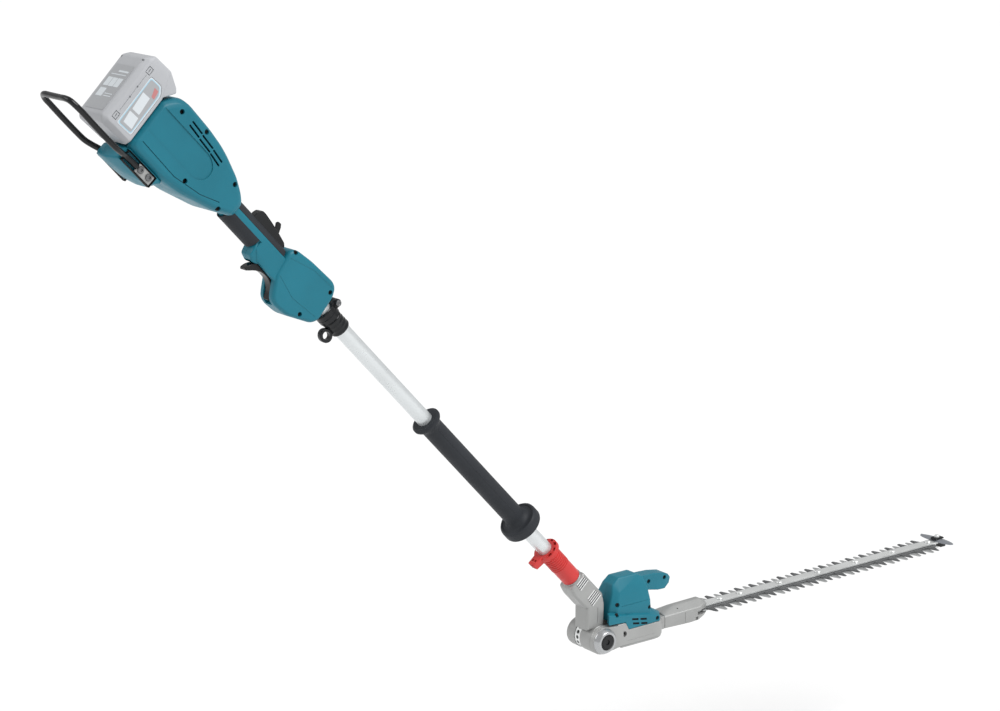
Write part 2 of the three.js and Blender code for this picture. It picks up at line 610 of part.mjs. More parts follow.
const knob = (inset) => hull(both([
  [96, 12.5 - inset, 66 + inset], [96, 12.5 - inset, 91 - inset], [112, 12.5 - inset, 64 + inset],
  [135, 12 - inset, 58 + inset], [150, 12 - inset, 57.5 + inset], [161 - inset, 10 - inset, 65 + inset],
  [150, 12 - inset, 86 - inset], [160 - inset, 9 - inset, 81 - inset], [126, 12 - inset, 90 - inset],
  [168 - inset, 5 - inset, 73]]));

function motorHousingBody() {
  const outer = join(tower(0), ledges(0), knob(0));
  const hollow = cut(outer, tower(3), ledges(3), knob(3));
  const stack = tower(0);
  const rib = ([low, high], radius) => cut(
    stack.intersect(box([0, 140], [-60, 60], [low, high])),
    rod("z", radius, [low - 1, high + 1], [MOTOR_X, 0]));
  const neckRoom = box([-20, 17.7], [-21, 21], [0, 60]);
  const ribs = join(rib([48, 52], 21.8), rib([79, 85], 8.3));
  const floor = box([0, 140], [-60, 60], [0, 10.5]);
  return cut(join(hollow, ribs), neckRoom, floor);
}

function motorHousingHalf(side) {
  const y = side < 0 ? [-70, -GAP / 2] : [GAP / 2, 70];
  return largest(motorHousingBody().intersect(box([-10, 180], y, [0, 120])));
}

const ringAt = (x, [inner, outer], [low, high], sides = 16) =>
  turned("z", [[inner, low], [outer, low], [outer, high], [inner, high]], sides).translate([x, 0, 0]);

function stator() {
  const core = ringAt(MOTOR_X, [17, 21.5], [36, 64], 20);
  const poles = Array.from({ length: 6 }, (_, i) =>
    box([11.8, 17.5], [-4.5, 4.5], [37, 63]).rotate([0, 0, 60 * i]).translate([MOTOR_X, 0, 0]));
  return join(core, ...poles);
}

const rotor = () => turned("z", [
  [0, 4.6], [6.9, 4.6], [6.9, 9.6], [3, 9.6], [3, 37], [11.2, 37], [11.2, 63], [3, 63], [3, 88], [0, 88]], 16)
  .translate([MOTOR_X, 0, 0]);

function fan() {
  const hub = ringAt(MOTOR_X, [3.3, 7], [27, 34], 12);
  const disc = ringAt(MOTOR_X, [6, 18], [32.4, 34], 16);
  const blades = Array.from({ length: 7 }, (_, i) =>
    box([6, 17.5], [-0.8, 0.8], [27, 33]).rotate([0, 0, 360 * i / 7]).translate([MOTOR_X, 0, 0]));
  return join(hub, disc, ...blades);
}

// A wheel's toothed outline, centred on the origin.
function toothed(radius, teeth, depth) {
  const points = [];
  for (let i = 0; i < teeth; i += 1) {
    for (const [part, r] of [[0, radius - depth], [0.3, radius - depth], [0.42, radius], [0.88, radius]]) {
      const angle = 2 * Math.PI * (i + part) / teeth;
      points.push([r * Math.cos(angle), r * Math.sin(angle)]);
    }
  }
  return outlineOf(points);
}

function crankGear() {
  const at = (shape) => shape.translate([CRANK_X, 0, 0]);
  return join(
    at(plate(toothed(GEAR_R, GEAR_TEETH, 1.6), [4.6, 9.6])),
    rod("z", 6, [2.2, 5], [CRANK_X, 0]),
    rod("z", ECCENTRIC_R, [0.2, 2.4], [CRANK_X + THROW, 0]),
    rod("z", 2.6, [-0.6, 0.6], [CRANK_X, 0], { sides: 12 }),
    rod("z", ECCENTRIC_R, [-2.4, -0.2], [CRANK_X - THROW, 0]),
    rod("z", 4, [-13.5, -2], [CRANK_X, 0], { sides: 16 }),
    rod("z", 4, [9, 16], [CRANK_X, 0], { sides: 16 }));
}

// ---------------------------------------------------------------- blades, bar and tip
// shift is how far the blade stands from mid-stroke; it travels back through mid-stroke.
function blade(shift) {
  const upper = shift > 0;
  const travel = -2 * shift;                        // full stroke from the rest place
  const holeSlack = [Math.min(0, -travel), Math.max(0, -travel)];
  const low = upper ? 0.15 : -0.15 - BLADE_THICKNESS;
  const tailR = ECCENTRIC_R + THROW + 0.5;
  const tailX = [CRANK_X + holeSlack[0], CRANK_X + holeSlack[1]];
  const firstTooth = FIRST_TOOTH_X - (upper ? 0 : 2 * THROW - TOOTH_PITCH);
  const teeth = upper ? TEETH_A_SIDE : TEETH_A_SIDE - 1;
  const tangStart = tailX[1] + tailR + 1;
  const edge = [[tangStart, TANG_HALF_WIDTH], [236, TANG_HALF_WIDTH], [238, SPINE_HALF_WIDTH]];
  for (let i = 0; i < teeth; i += 1) {
    const x = firstTooth + TOOTH_PITCH * i;
    edge.push([x - 9, SPINE_HALF_WIDTH], [x - 2.2, TOOTH_TIP_Y], [x + 2.2, TOOTH_TIP_Y], [x + 9, SPINE_HALF_WIDTH]);
  }
  edge.push([BLADE_END, SPINE_HALF_WIDTH]);
  const mirrored = edge.map(([x, y]) => [x, -y]).reverse();
  const spine = plate(outlineOf([...edge, ...mirrored]), [low, low + BLADE_THICKNESS]);
  const stadium = (radius, [x0, x1]) => {
    const shape = new THREE.Shape();
    shape.absarc(x1, 0, radius, -Math.PI / 2, Math.PI / 2);
    shape.absarc(x0, 0, radius, Math.PI / 2, 3 * Math.PI / 2);
    return shape;
  };
  const cutter = (radius, ends) => plate(stadium(radius, ends), [low - 1, low + BLADE_THICKNESS + 1], 3);
  const tail = plate(stadium(tailR + 3.6, tailX), [low, low + BLADE_THICKNESS], 8);
  const slots = BOLT_STEPS.map((k) => {
    const x = SECOND_BOLT_X + BOLT_PITCH * k;
    return cutter(BOLT_SHANK_R + GAP, [x + holeSlack[0], x + holeSlack[1]]);
  });
  return cut(join(spine, tail), plate(stadium(tailR, tailX), [low - 1, low + 4], 8), ...slots);
}

function guideBar() {
  const bar = box([NOSE_START + 2, BAR_END], [-BAR_HALF_WIDTH, BAR_HALF_WIDTH], [BAR_BOTTOM, BAR_TOP]);
  const holes = BOLT_STEPS.map((k) =>
    rod("z", BOLT_SHANK_R + GAP, [0, 10], [SECOND_BOLT_X + BOLT_PITCH * k, 0], { sides: 12 }));
  return cut(bar, ...holes, rod("z", 2.9, [0, 10], [846, 0], { sides: 12 }));
}

function bladeBolt(k) {
  const profile = [[0, -6.2], [6.4, -6.2], [6.4, -2.65], [BOLT_SHANK_R, -2.65],
    [BOLT_SHANK_R, BAR_TOP + GAP], [6.4, BAR_TOP + GAP], [5.6, 9.8], [0, 9.8]];
  return turned("z", profile, 8).translate([SECOND_BOLT_X + BOLT_PITCH * k, 0, 0]);
}

function tipGuard() {
  const wing = new THREE.Shape();
  wing.absellipse(846, 0, 13, 38, 0, 2 * Math.PI);
  return cut(plate(wing, [BAR_TOP + 0.35, BAR_TOP + 2.8], 16),
    rod("z", 2.9, [0, 20], [846, 0], { sides: 12 }));
}

const tipClip = () => cut(
  box([843.5, 857], [-13.5, 13.5], [-5, BAR_TOP]),
  box([840, BAR_END + GAP], [-BAR_HALF_WIDTH - GAP, BAR_HALF_WIDTH + GAP], [BAR_BOTTOM - GAP, 20]),
  rod("z", 2.9, [-10, 20], [846, 0], { sides: 12 }));

const tipBolt = () => turned("z", [
  [0, -8.5], [4.6, -8.5], [4.6, -5.3], [2.6, -5.3], [2.6, BAR_TOP + 3.1], [5, BAR_TOP + 3.1], [5, 13.2], [0, 13.2]], 12)
  .translate([846, 0, 0]);

// ---------------------------------------------------------------- assembly
const battery = new THREE.Group();
battery.position.set(...BATTERY_PLACE);
battery.rotation.y = -BATTERY_TILT;
battery.add(
  piece("battery_case", batteryCase(), greyPlastic),
  piece("battery_button", batteryButton(), blackPlastic));

const pole = new THREE.Group();
pole.position.copy(POLE_FOOT);
pole.rotation.y = POLE_ANGLE;
pole.add(
  piece("housing_right", housingHalf(-1), teal),
  piece("housing_left", housingHalf(1), teal),
  piece("upper_grip", grip(true), rubber),
  piece("lower_grip", grip(false), rubber),
  battery,
  piece("terminal_block", terminalBlock(), blackPlastic),
  piece("controller", controller(), board),
  piece("switch_unit", switchUnit(), blackPlastic),
  piece("trigger", trigger(), blackPlastic),
  piece("trigger_pin", triggerPin(), brightSteel),
  piece("lock_off_lever", lockOffLever(), blackPlastic),
  piece("reverse_lever", reverseLever(), blackPlastic),
  piece("guard_loop", guardLoop(), blackSteel),
  piece("guard_bracket_right", guardBracket(-1), castMetal),
  piece("guard_bracket_left", guardBracket(1), castMetal));
GUARD_SCREWS.forEach((place, i) => pole.add(
  piece(`guard_screw_right_${i + 1}`, guardScrew(place, -1), darkSteel),
  piece(`guard_screw_left_${i + 1}`, guardScrew(place, 1), darkSteel)));
pole.add(
  piece("pole_pipe", polePipe(), pipeMetal),
  piece("power_cable", powerCable(), rubber),
  piece("hanger_clamp", hangerClamp(), blackPlastic),
  piece("hanger_bolt", hangerBolt(), darkSteel),
  piece("front_grip", frontGrip(), rubber),
  piece("lock_sleeve", lockSleeve(), redPlastic));

const head = new THREE.Group();
head.add(
  piece("neck_casting", neckCasting(), castMetal),
  piece("lock_pin", lockPin(), brightSteel),
  piece("pin_spring", pinSpring(), darkSteel),
  piece("index_ring", indexRing(), brightSteel),
  piece("pivot_bolt", pivotBolt(), darkSteel),
  piece("pivot_cap", pivotCap(), blackPlastic),
  piece("gear_housing", gearHousing(), castMetal),
  piece("bottom_cover", bottomCover(), castMetal),
  piece("motor_plate", motorPlate(), castMetal),
  piece("nose_cover", noseCover(), castMetal),
  piece("motor_housing_right", motorHousingHalf(-1), teal),
  piece("motor_housing_left", motorHousingHalf(1), teal),
  piece("stator", stator(), copper),
  piece("rotor", rotor(), darkSteel),
  piece("fan", fan(), blackPlastic),
  piece("upper_bearing", ringAt(MOTOR_X, [3.3, 8], [79.5, 84.5]), brightSteel),
  piece("lower_bearing", ringAt(MOTOR_X, [3.3, 9], [14, 19]), brightSteel),
  piece("crank_gear", crankGear(), darkSteel),
  piece("crank_bearing_upper", ringAt(CRANK_X, [4.3, 9], [10.7, 15]), brightSteel),
  piece("crank_bearing_lower", ringAt(CRANK_X, [4.3, 9], [-14, -9.5]), brightSteel),
  piece("guide_bar", guideBar(), brightSteel),
  piece("upper_blade", blade(THROW), darkSteel),
  piece("lower_blade", blade(-THROW), brightSteel));
BOLT_STEPS.forEach((k, i) => head.add(piece(`blade_bolt_${i + 1}`, bladeBolt(k), brightSteel)));
head.add(
  piece("tip_guard", tipGuard(), castMetal),
  piece("tip_clip", tipClip(), blackPlastic),
  piece("tip_bolt", tipBolt(), brightSteel));

const trimmer = new THREE.Group();
trimmer.position.copy(EYE_IN_HEAD).negate();
trimmer.add(pole, head);
trimmer.updateMatrixWorld(true);

export default trimmer;
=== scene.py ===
"""Battery pole hedge trimmer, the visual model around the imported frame."""
import json
from math import cos, pi, radians, sin, sqrt
import bmesh
import bpy
from mathutils import Matrix, Vector


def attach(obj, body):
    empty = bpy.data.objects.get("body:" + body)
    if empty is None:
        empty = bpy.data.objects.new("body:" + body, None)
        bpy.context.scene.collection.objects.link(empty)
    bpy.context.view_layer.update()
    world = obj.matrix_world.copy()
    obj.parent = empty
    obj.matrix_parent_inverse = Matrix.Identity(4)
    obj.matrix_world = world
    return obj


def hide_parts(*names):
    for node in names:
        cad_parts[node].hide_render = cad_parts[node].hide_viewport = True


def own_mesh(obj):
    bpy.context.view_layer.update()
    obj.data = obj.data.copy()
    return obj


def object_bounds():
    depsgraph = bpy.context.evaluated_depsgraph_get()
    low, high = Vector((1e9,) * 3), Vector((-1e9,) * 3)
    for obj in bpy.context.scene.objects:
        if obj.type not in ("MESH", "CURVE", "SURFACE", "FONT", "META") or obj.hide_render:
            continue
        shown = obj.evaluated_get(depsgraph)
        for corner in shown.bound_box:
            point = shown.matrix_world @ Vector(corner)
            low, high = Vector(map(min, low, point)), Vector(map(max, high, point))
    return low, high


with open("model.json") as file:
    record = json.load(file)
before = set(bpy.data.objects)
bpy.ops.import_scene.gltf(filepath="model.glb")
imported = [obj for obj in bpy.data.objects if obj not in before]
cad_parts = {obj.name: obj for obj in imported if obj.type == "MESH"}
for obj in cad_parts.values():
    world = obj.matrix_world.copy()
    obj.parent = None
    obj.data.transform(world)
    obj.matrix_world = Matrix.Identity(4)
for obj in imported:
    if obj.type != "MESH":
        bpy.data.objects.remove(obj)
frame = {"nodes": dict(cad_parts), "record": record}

cad_box = [list(corner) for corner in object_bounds()]

# ------------------------------------------------------------------ frames, in millimetres
MM = Matrix.Scale(0.001, 4)
JOINTS = {j["name"]: j for j in frame["record"]["behaviour"]["joints"]}
HINGE = Vector(JOINTS["head_fold"]["pos_m"]) * 1000
U = Vector(JOINTS["lock_sleeve_slide"]["axis"]).normalized()   # up the pole
V = Vector((U.z, 0, -U.x))                                     # the tool's top side
POLE_OFFSET = 42.75                # from the hinge's axis to the pipe's
PIPE_SEAT = 13.05                  # radius of a bore around the 12.7 mm pipe
PIVOT_BORE = 8.3                   # radius of a bore around the pivot bolt
PIN_Y = 12.5                       # the lock pin's place across the tool
SPLIT = 0.2                        # half the gap between two housing halves
STROKE, PITCH = 13.5, 35           # the blades' travel against each other, and from tooth to tooth
TIP_X = 846                        # the tip bolt's place along the blade
FLOOR_DROP, FLOOR_RADIUS = 0.32, 70                            # in metres
HEAD = Matrix.Translation(HINGE)
POLE_IN_HEAD = Matrix.Translation(V * POLE_OFFSET) @ Matrix((
    (-U.x, 0, V.x, 0), (0, 1, 0, 0), (-U.z, 0, V.z, 0), (0, 0, 0, 1)))
POLE = HEAD @ POLE_IN_HEAD                                     # x = -station, z = height
BATTERY = POLE @ Matrix.Translation((-1276.5, 0, -10)) @ Matrix.Rotation(radians(-3.5), 4, "Y")


# ------------------------------------------------------------------ solids
def placed(data, name="part"):
    o = bpy.data.objects.new(name, data)
    bpy.context.scene.collection.objects.link(o)
    return o


def mesh_from(bm, mesh=None):
    """Writes bm to a mesh and frees it."""
    mesh = mesh or bpy.data.meshes.new("part")
    bm.to_mesh(mesh)
    bm.free()
    return mesh


def raw(verts, faces):
    """A temporary object from a closed mesh in local millimetres."""
    mesh = bpy.data.meshes.new("part")
    mesh.from_pydata([tuple(v) for v in verts], [], faces)
    bm = bmesh.new()
    bm.from_mesh(mesh)
    bmesh.ops.recalc_face_normals(bm, faces=bm.faces)
    return placed(mesh_from(bm, mesh))


def bake(o):
    """Applies o's modifiers to its mesh."""
    bpy.context.view_layer.update()
    deps = bpy.context.evaluated_depsgraph_get()
    mesh = bpy.data.meshes.new_from_object(o.evaluated_get(deps))
    o.modifiers.clear()
    o.data = mesh
    return o


def drop(*objects):
    for o in objects:
        bpy.data.objects.remove(o)


def boolean(o, operation, tools):
    for i, tool in enumerate(tools):
        m = o.modifiers.new(f"b{i}", "BOOLEAN")
        m.operation, m.solver, m.object = operation, "EXACT", tool
    bake(o)
    drop(*tools)
    return o


def cut(o, *tools):
    return boolean(o, "DIFFERENCE", tools)


def join(o, *tools):
    return boolean(o, "UNION", tools)


def meet(o, *tools):
    return boolean(o, "INTERSECT", tools)


def copy(o):
    return placed(o.data.copy())


def group(*objects):
    """Several solids that do not touch as one object."""
    bm = bmesh.new()
    for o in objects:
        bm.from_mesh(o.data)
    drop(*objects[1:])
    objects[0].data = mesh_from(bm)
    return objects[0]


def moved(o, matrix):
    o.data.transform(matrix)
    if matrix.determinant() < 0:
        o.data.flip_normals()
    return o


def mirror(o):
    return moved(copy(o), Matrix.Scale(-1, 4, (0, 1, 0)))


def bevel(o, width, segments=3, angle=25):
    m = o.modifiers.new("round", "BEVEL")
    m.width, m.segments, m.limit_method = width, segments, "ANGLE"
    m.angle_limit = radians(angle)
    m.miter_outer = "MITER_ARC"
    return bake(o)


def hull(points, width=0.0, segments=3):
    bm = bmesh.new()
    for p in points:
        bm.verts.new(p)
    found = bmesh.ops.convex_hull(bm, input=bm.verts)
    bmesh.ops.delete(bm, geom=list({g for g in found["geom_interior"] + found["geom_unused"]
                                    if isinstance(g, bmesh.types.BMVert)}), context="VERTS")
    bmesh.ops.dissolve_limit(bm, angle_limit=radians(1), verts=bm.verts, edges=bm.edges)
    o = placed(mesh_from(bm))
    return bevel(o, width, segments) if width else o


def both(points):
    """The points and their mirror images on the tool's other side."""
    return [q for x, y, z in points for q in ((x, y, z), (x, -y, z))]


def span(s, a, b):
    """The stretch from a to b across the tool on side s, low end first."""
    return sorted((s * a, s * b))


def box(xs, ys, zs, width=0.0):
    return hull([(x, y, z) for x in xs for y in ys for z in zs], width)


# Puts two numbers across an axis and one along it in order.
ORDER = {"x": lambda a, b, c: (c, a, b), "y": lambda a, b, c: (a, c, b), "z": lambda a, b, c: (a, b, c)}


def prism(outline, low, high, axis="y", width=0.0, segments=2):
    """An outline drawn out along an axis; the outline's two numbers are the other coordinates."""
    n, place = len(outline), ORDER[axis]
    verts = [place(a, b, low) for a, b in outline] + [place(a, b, high) for a, b in outline]
    faces = [tuple(range(n)), tuple(range(2 * n - 1, n - 1, -1))]
    faces += [(i, (i + 1) % n, n + (i + 1) % n, n + i) for i in range(n)]
    o = raw(verts, faces)
    return bevel(o, width, segments) if width else o


def lathe(profile, axis="x", sides=64, centre=(0, 0, 0)):
    """A turned body from [radius, place] pairs of an outline, closed on the axis or on itself."""
    verts, rings = [], []
    for r, p in profile:
        count = sides if r > 1e-6 else 1
        rings.append(list(range(len(verts), len(verts) + count)))
        for i in range(count):
            a = 2 * pi * (i + 0.5) / sides
            across = (r * cos(a), r * sin(a)) if count > 1 else (0, 0)
            verts.append([u + v for u, v in zip(ORDER[axis](*across, p), centre)])
    pairs = list(zip(rings, rings[1:]))
    if profile[0][0] > 1e-6:
        pairs.append((rings[-1], rings[0]))
    faces = []
    for a, b in pairs:
        for i in range(sides if len(a) + len(b) > 2 else 0):
            j = (i + 1) % sides
            if len(a) == 1:
                faces.append((a[0], b[i], b[j]))
            elif len(b) == 1:
                faces.append((a[i], b[0], a[j]))
            else:
                faces.append((a[i], b[i], b[j], a[j]))
    return raw(verts, faces)


def rod(axis, radius, low, high, centre=(0, 0, 0), sides=32):
    return lathe([(0, low), (radius, low), (radius, high), (0, high)], axis, sides, centre)


def rounded(points, radius, steps=5):
    """A closed outline with its corners rounded; radius may be one number or one for each corner."""
    n, out = len(points), []
    for i, p in enumerate(points):
        r = radius[i] if isinstance(radius, (list, tuple)) else radius
        p, a, b = Vector(p), Vector(points[i - 1]), Vector(points[(i + 1) % n])
        da, db = a - p, b - p
        ra, rb = min(r, 0.48 * da.length), min(r, 0.48 * db.length)
        start, end = p + da.normalized() * ra, p + db.normalized() * rb
        for k in range(steps + 1):
            s = k / steps
            out.append(tuple(start * (1 - s) ** 2 + p * 2 * s * (1 - s) + end * s * s))
    return out


def rectangle(xs, zs):
    return [(xs[0], zs[0]), (xs[1], zs[0]), (xs[1], zs[1]), (xs[0], zs[1])]


def ellipse(a, b, sides, cx=0.0, cz=0.0, shift=0.0):
    angles = [2 * pi * (k + shift) / sides for k in range(sides)]
    return [(cx + a * cos(w), cz + b * sin(w)) for w in angles]


def star(outer, inner):
    """The outline of a star socket with six points."""
    return [((outer if k % 2 else inner) * x, (outer if k % 2 else inner) * z)
            for k, (x, z) in enumerate(ellipse(1, 1, 12))]


def at_stations(points):
    """Points given as station up the pole and height, as the pole frame's x and z."""
    return [(-t, v) for t, v in points]


def loft(rows):
    """A closed body through rows of points, flat at both ends."""
    n, verts = len(rows[0]), [p for row in rows for p in row]
    faces = [(r * n + i, r * n + (i + 1) % n, (r + 1) * n + (i + 1) % n, (r + 1) * n + i)
             for r in range(len(rows) - 1) for i in range(n)]
    faces += [tuple(range(n)), tuple(range(len(verts) - 1, len(verts) - n - 1, -1))]
    return raw(verts, faces)


def inset(outline, by):
    """A convex outline moved in by a distance, about the middle of its box."""
    xs, zs = [p[0] for p in outline], [p[1] for p in outline]
    cx, cz = (min(xs) + max(xs)) / 2, (min(zs) + max(zs)) / 2
    fx, fz = 1 - 2 * by / (max(xs) - min(xs)), 1 - 2 * by / (max(zs) - min(zs))
    return [(cx + (x - cx) * fx, cz + (z - cz) * fz) for x, z in outline]


def pod(outline, half, shoulder, fall, steps=9):
    """An x-z outline with rounded sides: each wall falls away over the shoulder at the edges."""
    arcs = [pi / 2 * k / steps for k in range(steps + 1)]
    rows = [(half - shoulder + shoulder * sin(a), fall * (1 - cos(a))) for a in arcs]
    rows = [(-y, i) for y, i in reversed(rows)] + rows
    return loft([[(x, y, z) for x, z in inset(outline, i)] for y, i in rows])


def smooth_path(points, per=10):
    """A centripetal curve through points, as close points."""
    pts = [Vector(p) for p in points]
    pts = [2 * pts[0] - pts[1], *pts, 2 * pts[-1] - pts[-2]]
    out = []
    for a, b, c, d in zip(pts, pts[1:], pts[2:], pts[3:]):
        t = [0.0]
        for p, q in ((a, b), (b, c), (c, d)):
            t.append(t[-1] + max((q - p).length, 1e-6) ** 0.5)
        for k in range(per):
            s = t[1] + (t[2] - t[1]) * k / per
            a1 = a.lerp(b, (s - t[0]) / (t[1] - t[0]))
            a2 = b.lerp(c, (s - t[1]) / (t[2] - t[1]))
            a3 = c.lerp(d, (s - t[2]) / (t[3] - t[2]))
            b1 = a1.lerp(a2, (s - t[0]) / (t[2] - t[0]))
            b2 = a2.lerp(a3, (s - t[1]) / (t[3] - t[1]))
            out.append(b1.lerp(b2, (s - t[1]) / (t[2] - t[1])))
    return out + [pts[-2]]


def tube(path, radius, sides=20):
    """A round bar along close points, with flat ends."""
    upright = abs((path[1] - path[0]).normalized().z) < 0.9
    normal = Vector((0, 0, 1)) if upright else Vector((0, 1, 0))
    rows = []
    for i, p in enumerate(path):
        along = (path[min(i + 1, len(path) - 1)] - path[max(i - 1, 0)]).normalized()
        normal = (normal - along * normal.dot(along)).normalized()
        other = along.cross(normal)
        turns = [2 * pi * k / sides for k in range(sides)]
        rows.append([p + radius * (cos(a) * normal + sin(a) * other) for a in turns])
    return loft(rows)


def ellipse_rod(half_width, half_height, low, high, sides=64):
    return prism(ellipse(half_width, half_height, sides, shift=0.5), low, high, "x")


# ------------------------------------------------------------------ materials
MATERIAL = {}


def finish_of(name, colour, rough, metallic=0.0, grain=2500, bump=0.15, depth=0.0001, mottle=0.08,
              wear=None, wear_amount=0.35, stretch=(1, 1, 1), coat=0.0, spread=0.12, specular=0.5):
    """A procedural finish: mottled colour, grained bump, uneven roughness and rubbed edges."""
    mat = MATERIAL[name] = bpy.data.materials.new(name)
    mat.use_nodes = True
    nodes, links = mat.node_tree.nodes, mat.node_tree.links

    def fill(node, values):
        """Links or sets a node's inputs, and gives its outputs."""
        for socket, value in values.items():
            if isinstance(value, bpy.types.NodeSocket):
                links.new(value, node.inputs[socket])
            else:
                node.inputs[socket].default_value = value
        return node.outputs

    def noise(scale, detail, vector):
        return fill(nodes.new("ShaderNodeTexNoise"),
                    {"Scale": scale, "Detail": detail, "Vector": vector})["Fac"]

    def spreading(value, low, high, start=0.3, end=0.7):
        return fill(nodes.new("ShaderNodeMapRange"), {
            "From Min": start, "From Max": end, "To Min": low, "To Max": high,
            "Value": value})["Result"]

    def blend(factor, first, second):
        node = nodes.new("ShaderNodeMix")
        node.data_type = "RGBA"
        return fill(node, {0: factor, 6: first, 7: second})[2]

    def computed(kind, operation, first, second):
        node = nodes.new(kind)
        node.operation = operation
        return fill(node, {0: first, 1: second})["Value"]

    def tone(by):
        return tuple(min(1, c * (1 + by)) for c in colour) + (1,)

    where = nodes.new("ShaderNodeTexCoord").outputs["Object"]
    scaled = fill(nodes.new("ShaderNodeMapping"), {"Scale": stretch, "Vector": where})["Vector"]
    fine = noise(grain, 3, scaled)
    base = blend(spreading(noise(14, 5, where), 0, 1), tone(-mottle), tone(mottle))
    base = blend(spreading(fine, 0, 0.55, 0.5, 0.8), base, tone(-1.4 * mottle))
    if wear:
        edge = nodes.new("ShaderNodeBevel")
        edge.samples = 4
        softened = fill(edge, {"Radius": 0.0009})["Normal"]
        true = nodes.new("ShaderNodeNewGeometry").outputs["Normal"]
        facing = computed("ShaderNodeVectorMath", "DOT_PRODUCT", softened, true)
        rubbed = spreading(facing, wear_amount, 0, 0.82, 0.985)
        patchy = spreading(noise(380, 4, where), 0.25, 1, 0.35, 0.65)
        base = blend(computed("ShaderNodeMath", "MULTIPLY", rubbed, patchy), base, (*wear, 1))
    smudge = spreading(noise(55, 4, where), -spread / 2, spread / 2)
    grained = spreading(fine, rough - spread / 3, rough + spread / 3)
    raised = nodes.new("ShaderNodeBump")
    fill(nodes["Principled BSDF"], {
        "Metallic": metallic, "Coat Weight": coat, "Coat Roughness": 0.12,
        "Specular IOR Level": specular, "Base Color": base,
        "Roughness": computed("ShaderNodeMath", "ADD", smudge, grained),
        "Normal": fill(raised, {"Strength": bump, "Distance": depth, "Height": fine})["Normal"]})
    return mat


ALONG_X = (0.04, 1, 1)
finish_of("teal_plastic", (0.009, 0.155, 0.215), 0.4, grain=1900, bump=0.35,
          wear=(0.06, 0.29, 0.36), mottle=0.07, specular=0.3)
finish_of("grip_rubber", (0.024, 0.027, 0.032), 0.55, grain=1400, bump=0.5,
          depth=0.00015, mottle=0.16, wear=(0.06, 0.064, 0.072), specular=0.22)
finish_of("black_plastic", (0.008, 0.009, 0.0105), 0.24, grain=1500, bump=0.1,
          wear=(0.035, 0.037, 0.04), mottle=0.2, specular=0.32)
finish_of("grey_plastic", (0.42, 0.43, 0.45), 0.5, grain=1800, bump=0.3,
          wear=(0.6, 0.61, 0.63), mottle=0.05)
finish_of("red_plastic", (0.56, 0.027, 0.025), 0.4, grain=1900, bump=0.25,
          wear=(0.9, 0.28, 0.24), mottle=0.06)
finish_of("pipe_aluminium", (0.70, 0.73, 0.74), 0.32, 0.6, grain=900, bump=0.06,
          stretch=(0.5, 1, 0.5), mottle=0.04, spread=0.1)
finish_of("cast_alloy", (0.335, 0.34, 0.335), 0.42, 0.3, grain=1500, bump=0.45,
          depth=0.00015, wear=(0.66, 0.67, 0.66), mottle=0.08, wear_amount=0.5)
finish_of("bright_steel", (0.75, 0.765, 0.76), 0.3, 0.6, grain=2600, bump=0.12,
          stretch=ALONG_X, wear=(0.86, 0.87, 0.88), mottle=0.1, spread=0.18)
finish_of("dark_steel", (0.16, 0.165, 0.17), 0.36, 0.8, grain=2400, bump=0.14,
          stretch=ALONG_X, wear=(0.5, 0.5, 0.5), mottle=0.14, spread=0.16)
finish_of("black_rod", (0.006, 0.0065, 0.0075), 0.2, grain=1100, bump=0.08,
          mottle=0.25, coat=0.25, specular=0.25)
finish_of("motor_core", (0.22, 0.19, 0.17), 0.55, 0.5, grain=2600, bump=0.3,
          stretch=(1, 1, 12), mottle=0.2)
finish_of("board", (0.05, 0.12, 0.07), 0.5, grain=900, bump=0.25, mottle=0.2)
LABEL = finish_of("label_film", (0.62, 0.66, 0.69), 0.32, grain=3000, bump=0.05, mottle=0.03)
LABEL_DARK = finish_of("label_grey", (0.36, 0.37, 0.385), 0.42, grain=2500, bump=0.08, mottle=0.04)
ACCENT = finish_of("label_accent", (0.50, 0.20, 0.20), 0.35, grain=2600, bump=0.05, mottle=0.04)
RIM = finish_of("label_rim", (0.36, 0.58, 0.70), 0.35, grain=2800, bump=0.05, mottle=0.03)
# Near-black fill: painted shade for vents, hole bottoms and recess walls
PAINTED_SHADE = finish_of("shaded_recess", (0.005, 0.0055, 0.006), 0.7, grain=900, bump=0.1, mottle=0.2,
                   specular=0.15)
# Dark grey strips: painted shade between the neck's painted highlight lines
GROOVE_SHADE = finish_of("shaded_groove", (0.11, 0.112, 0.112), 0.5, grain=1500, bump=0.1, mottle=0.1,
                   specular=0.2)
# A darker copy of bright steel for the lower blade: painted shade on its teeth
TOOTH_SHADE_STEEL = finish_of("tooth_steel_shaded", (0.45, 0.46, 0.46), 0.34, 0.7, grain=2600, bump=0.12, stretch=ALONG_X,
                  wear=(0.7, 0.71, 0.72), mottle=0.1, spread=0.18)
# Near-black screw heads: painted shade for screws seen deep in their holes
SCREW_SHADE = finish_of("screw_painted_shade", (0.006, 0.0065, 0.007), 0.5, grain=1800, bump=0.1, mottle=0.2,
                       specular=0.2)
# Near-white strips: painted highlights on the neck's raised lines
PAINTED_HIGHLIGHT = finish_of("painted_highlight_alloy", (0.82, 0.83, 0.83), 0.35, 0.4, grain=1500, bump=0.2, mottle=0.05)
MACHINED = finish_of("turned_alloy", (0.43, 0.44, 0.45), 0.26, 0.7, grain=2200, bump=0.12, mottle=0.06,
                     wear=(0.75, 0.76, 0.77))
WING = finish_of("wing_alloy", (0.23, 0.245, 0.27), 0.4, 0.4, grain=1500, bump=0.3, mottle=0.1,
                 wear=(0.5, 0.52, 0.55))
STICKER = finish_of("strip_film", (0.36, 0.35, 0.39), 0.35, grain=2600, bump=0.05, mottle=0.05)

for sub in frame["record"]["subparts"]:
    node = frame["nodes"][sub["node"]]
    if not node.material_slots:
        node.data.materials.append(None)
    for s in node.material_slots:
        s.link = "OBJECT"
        s.material = MATERIAL[sub["material_slot"]]


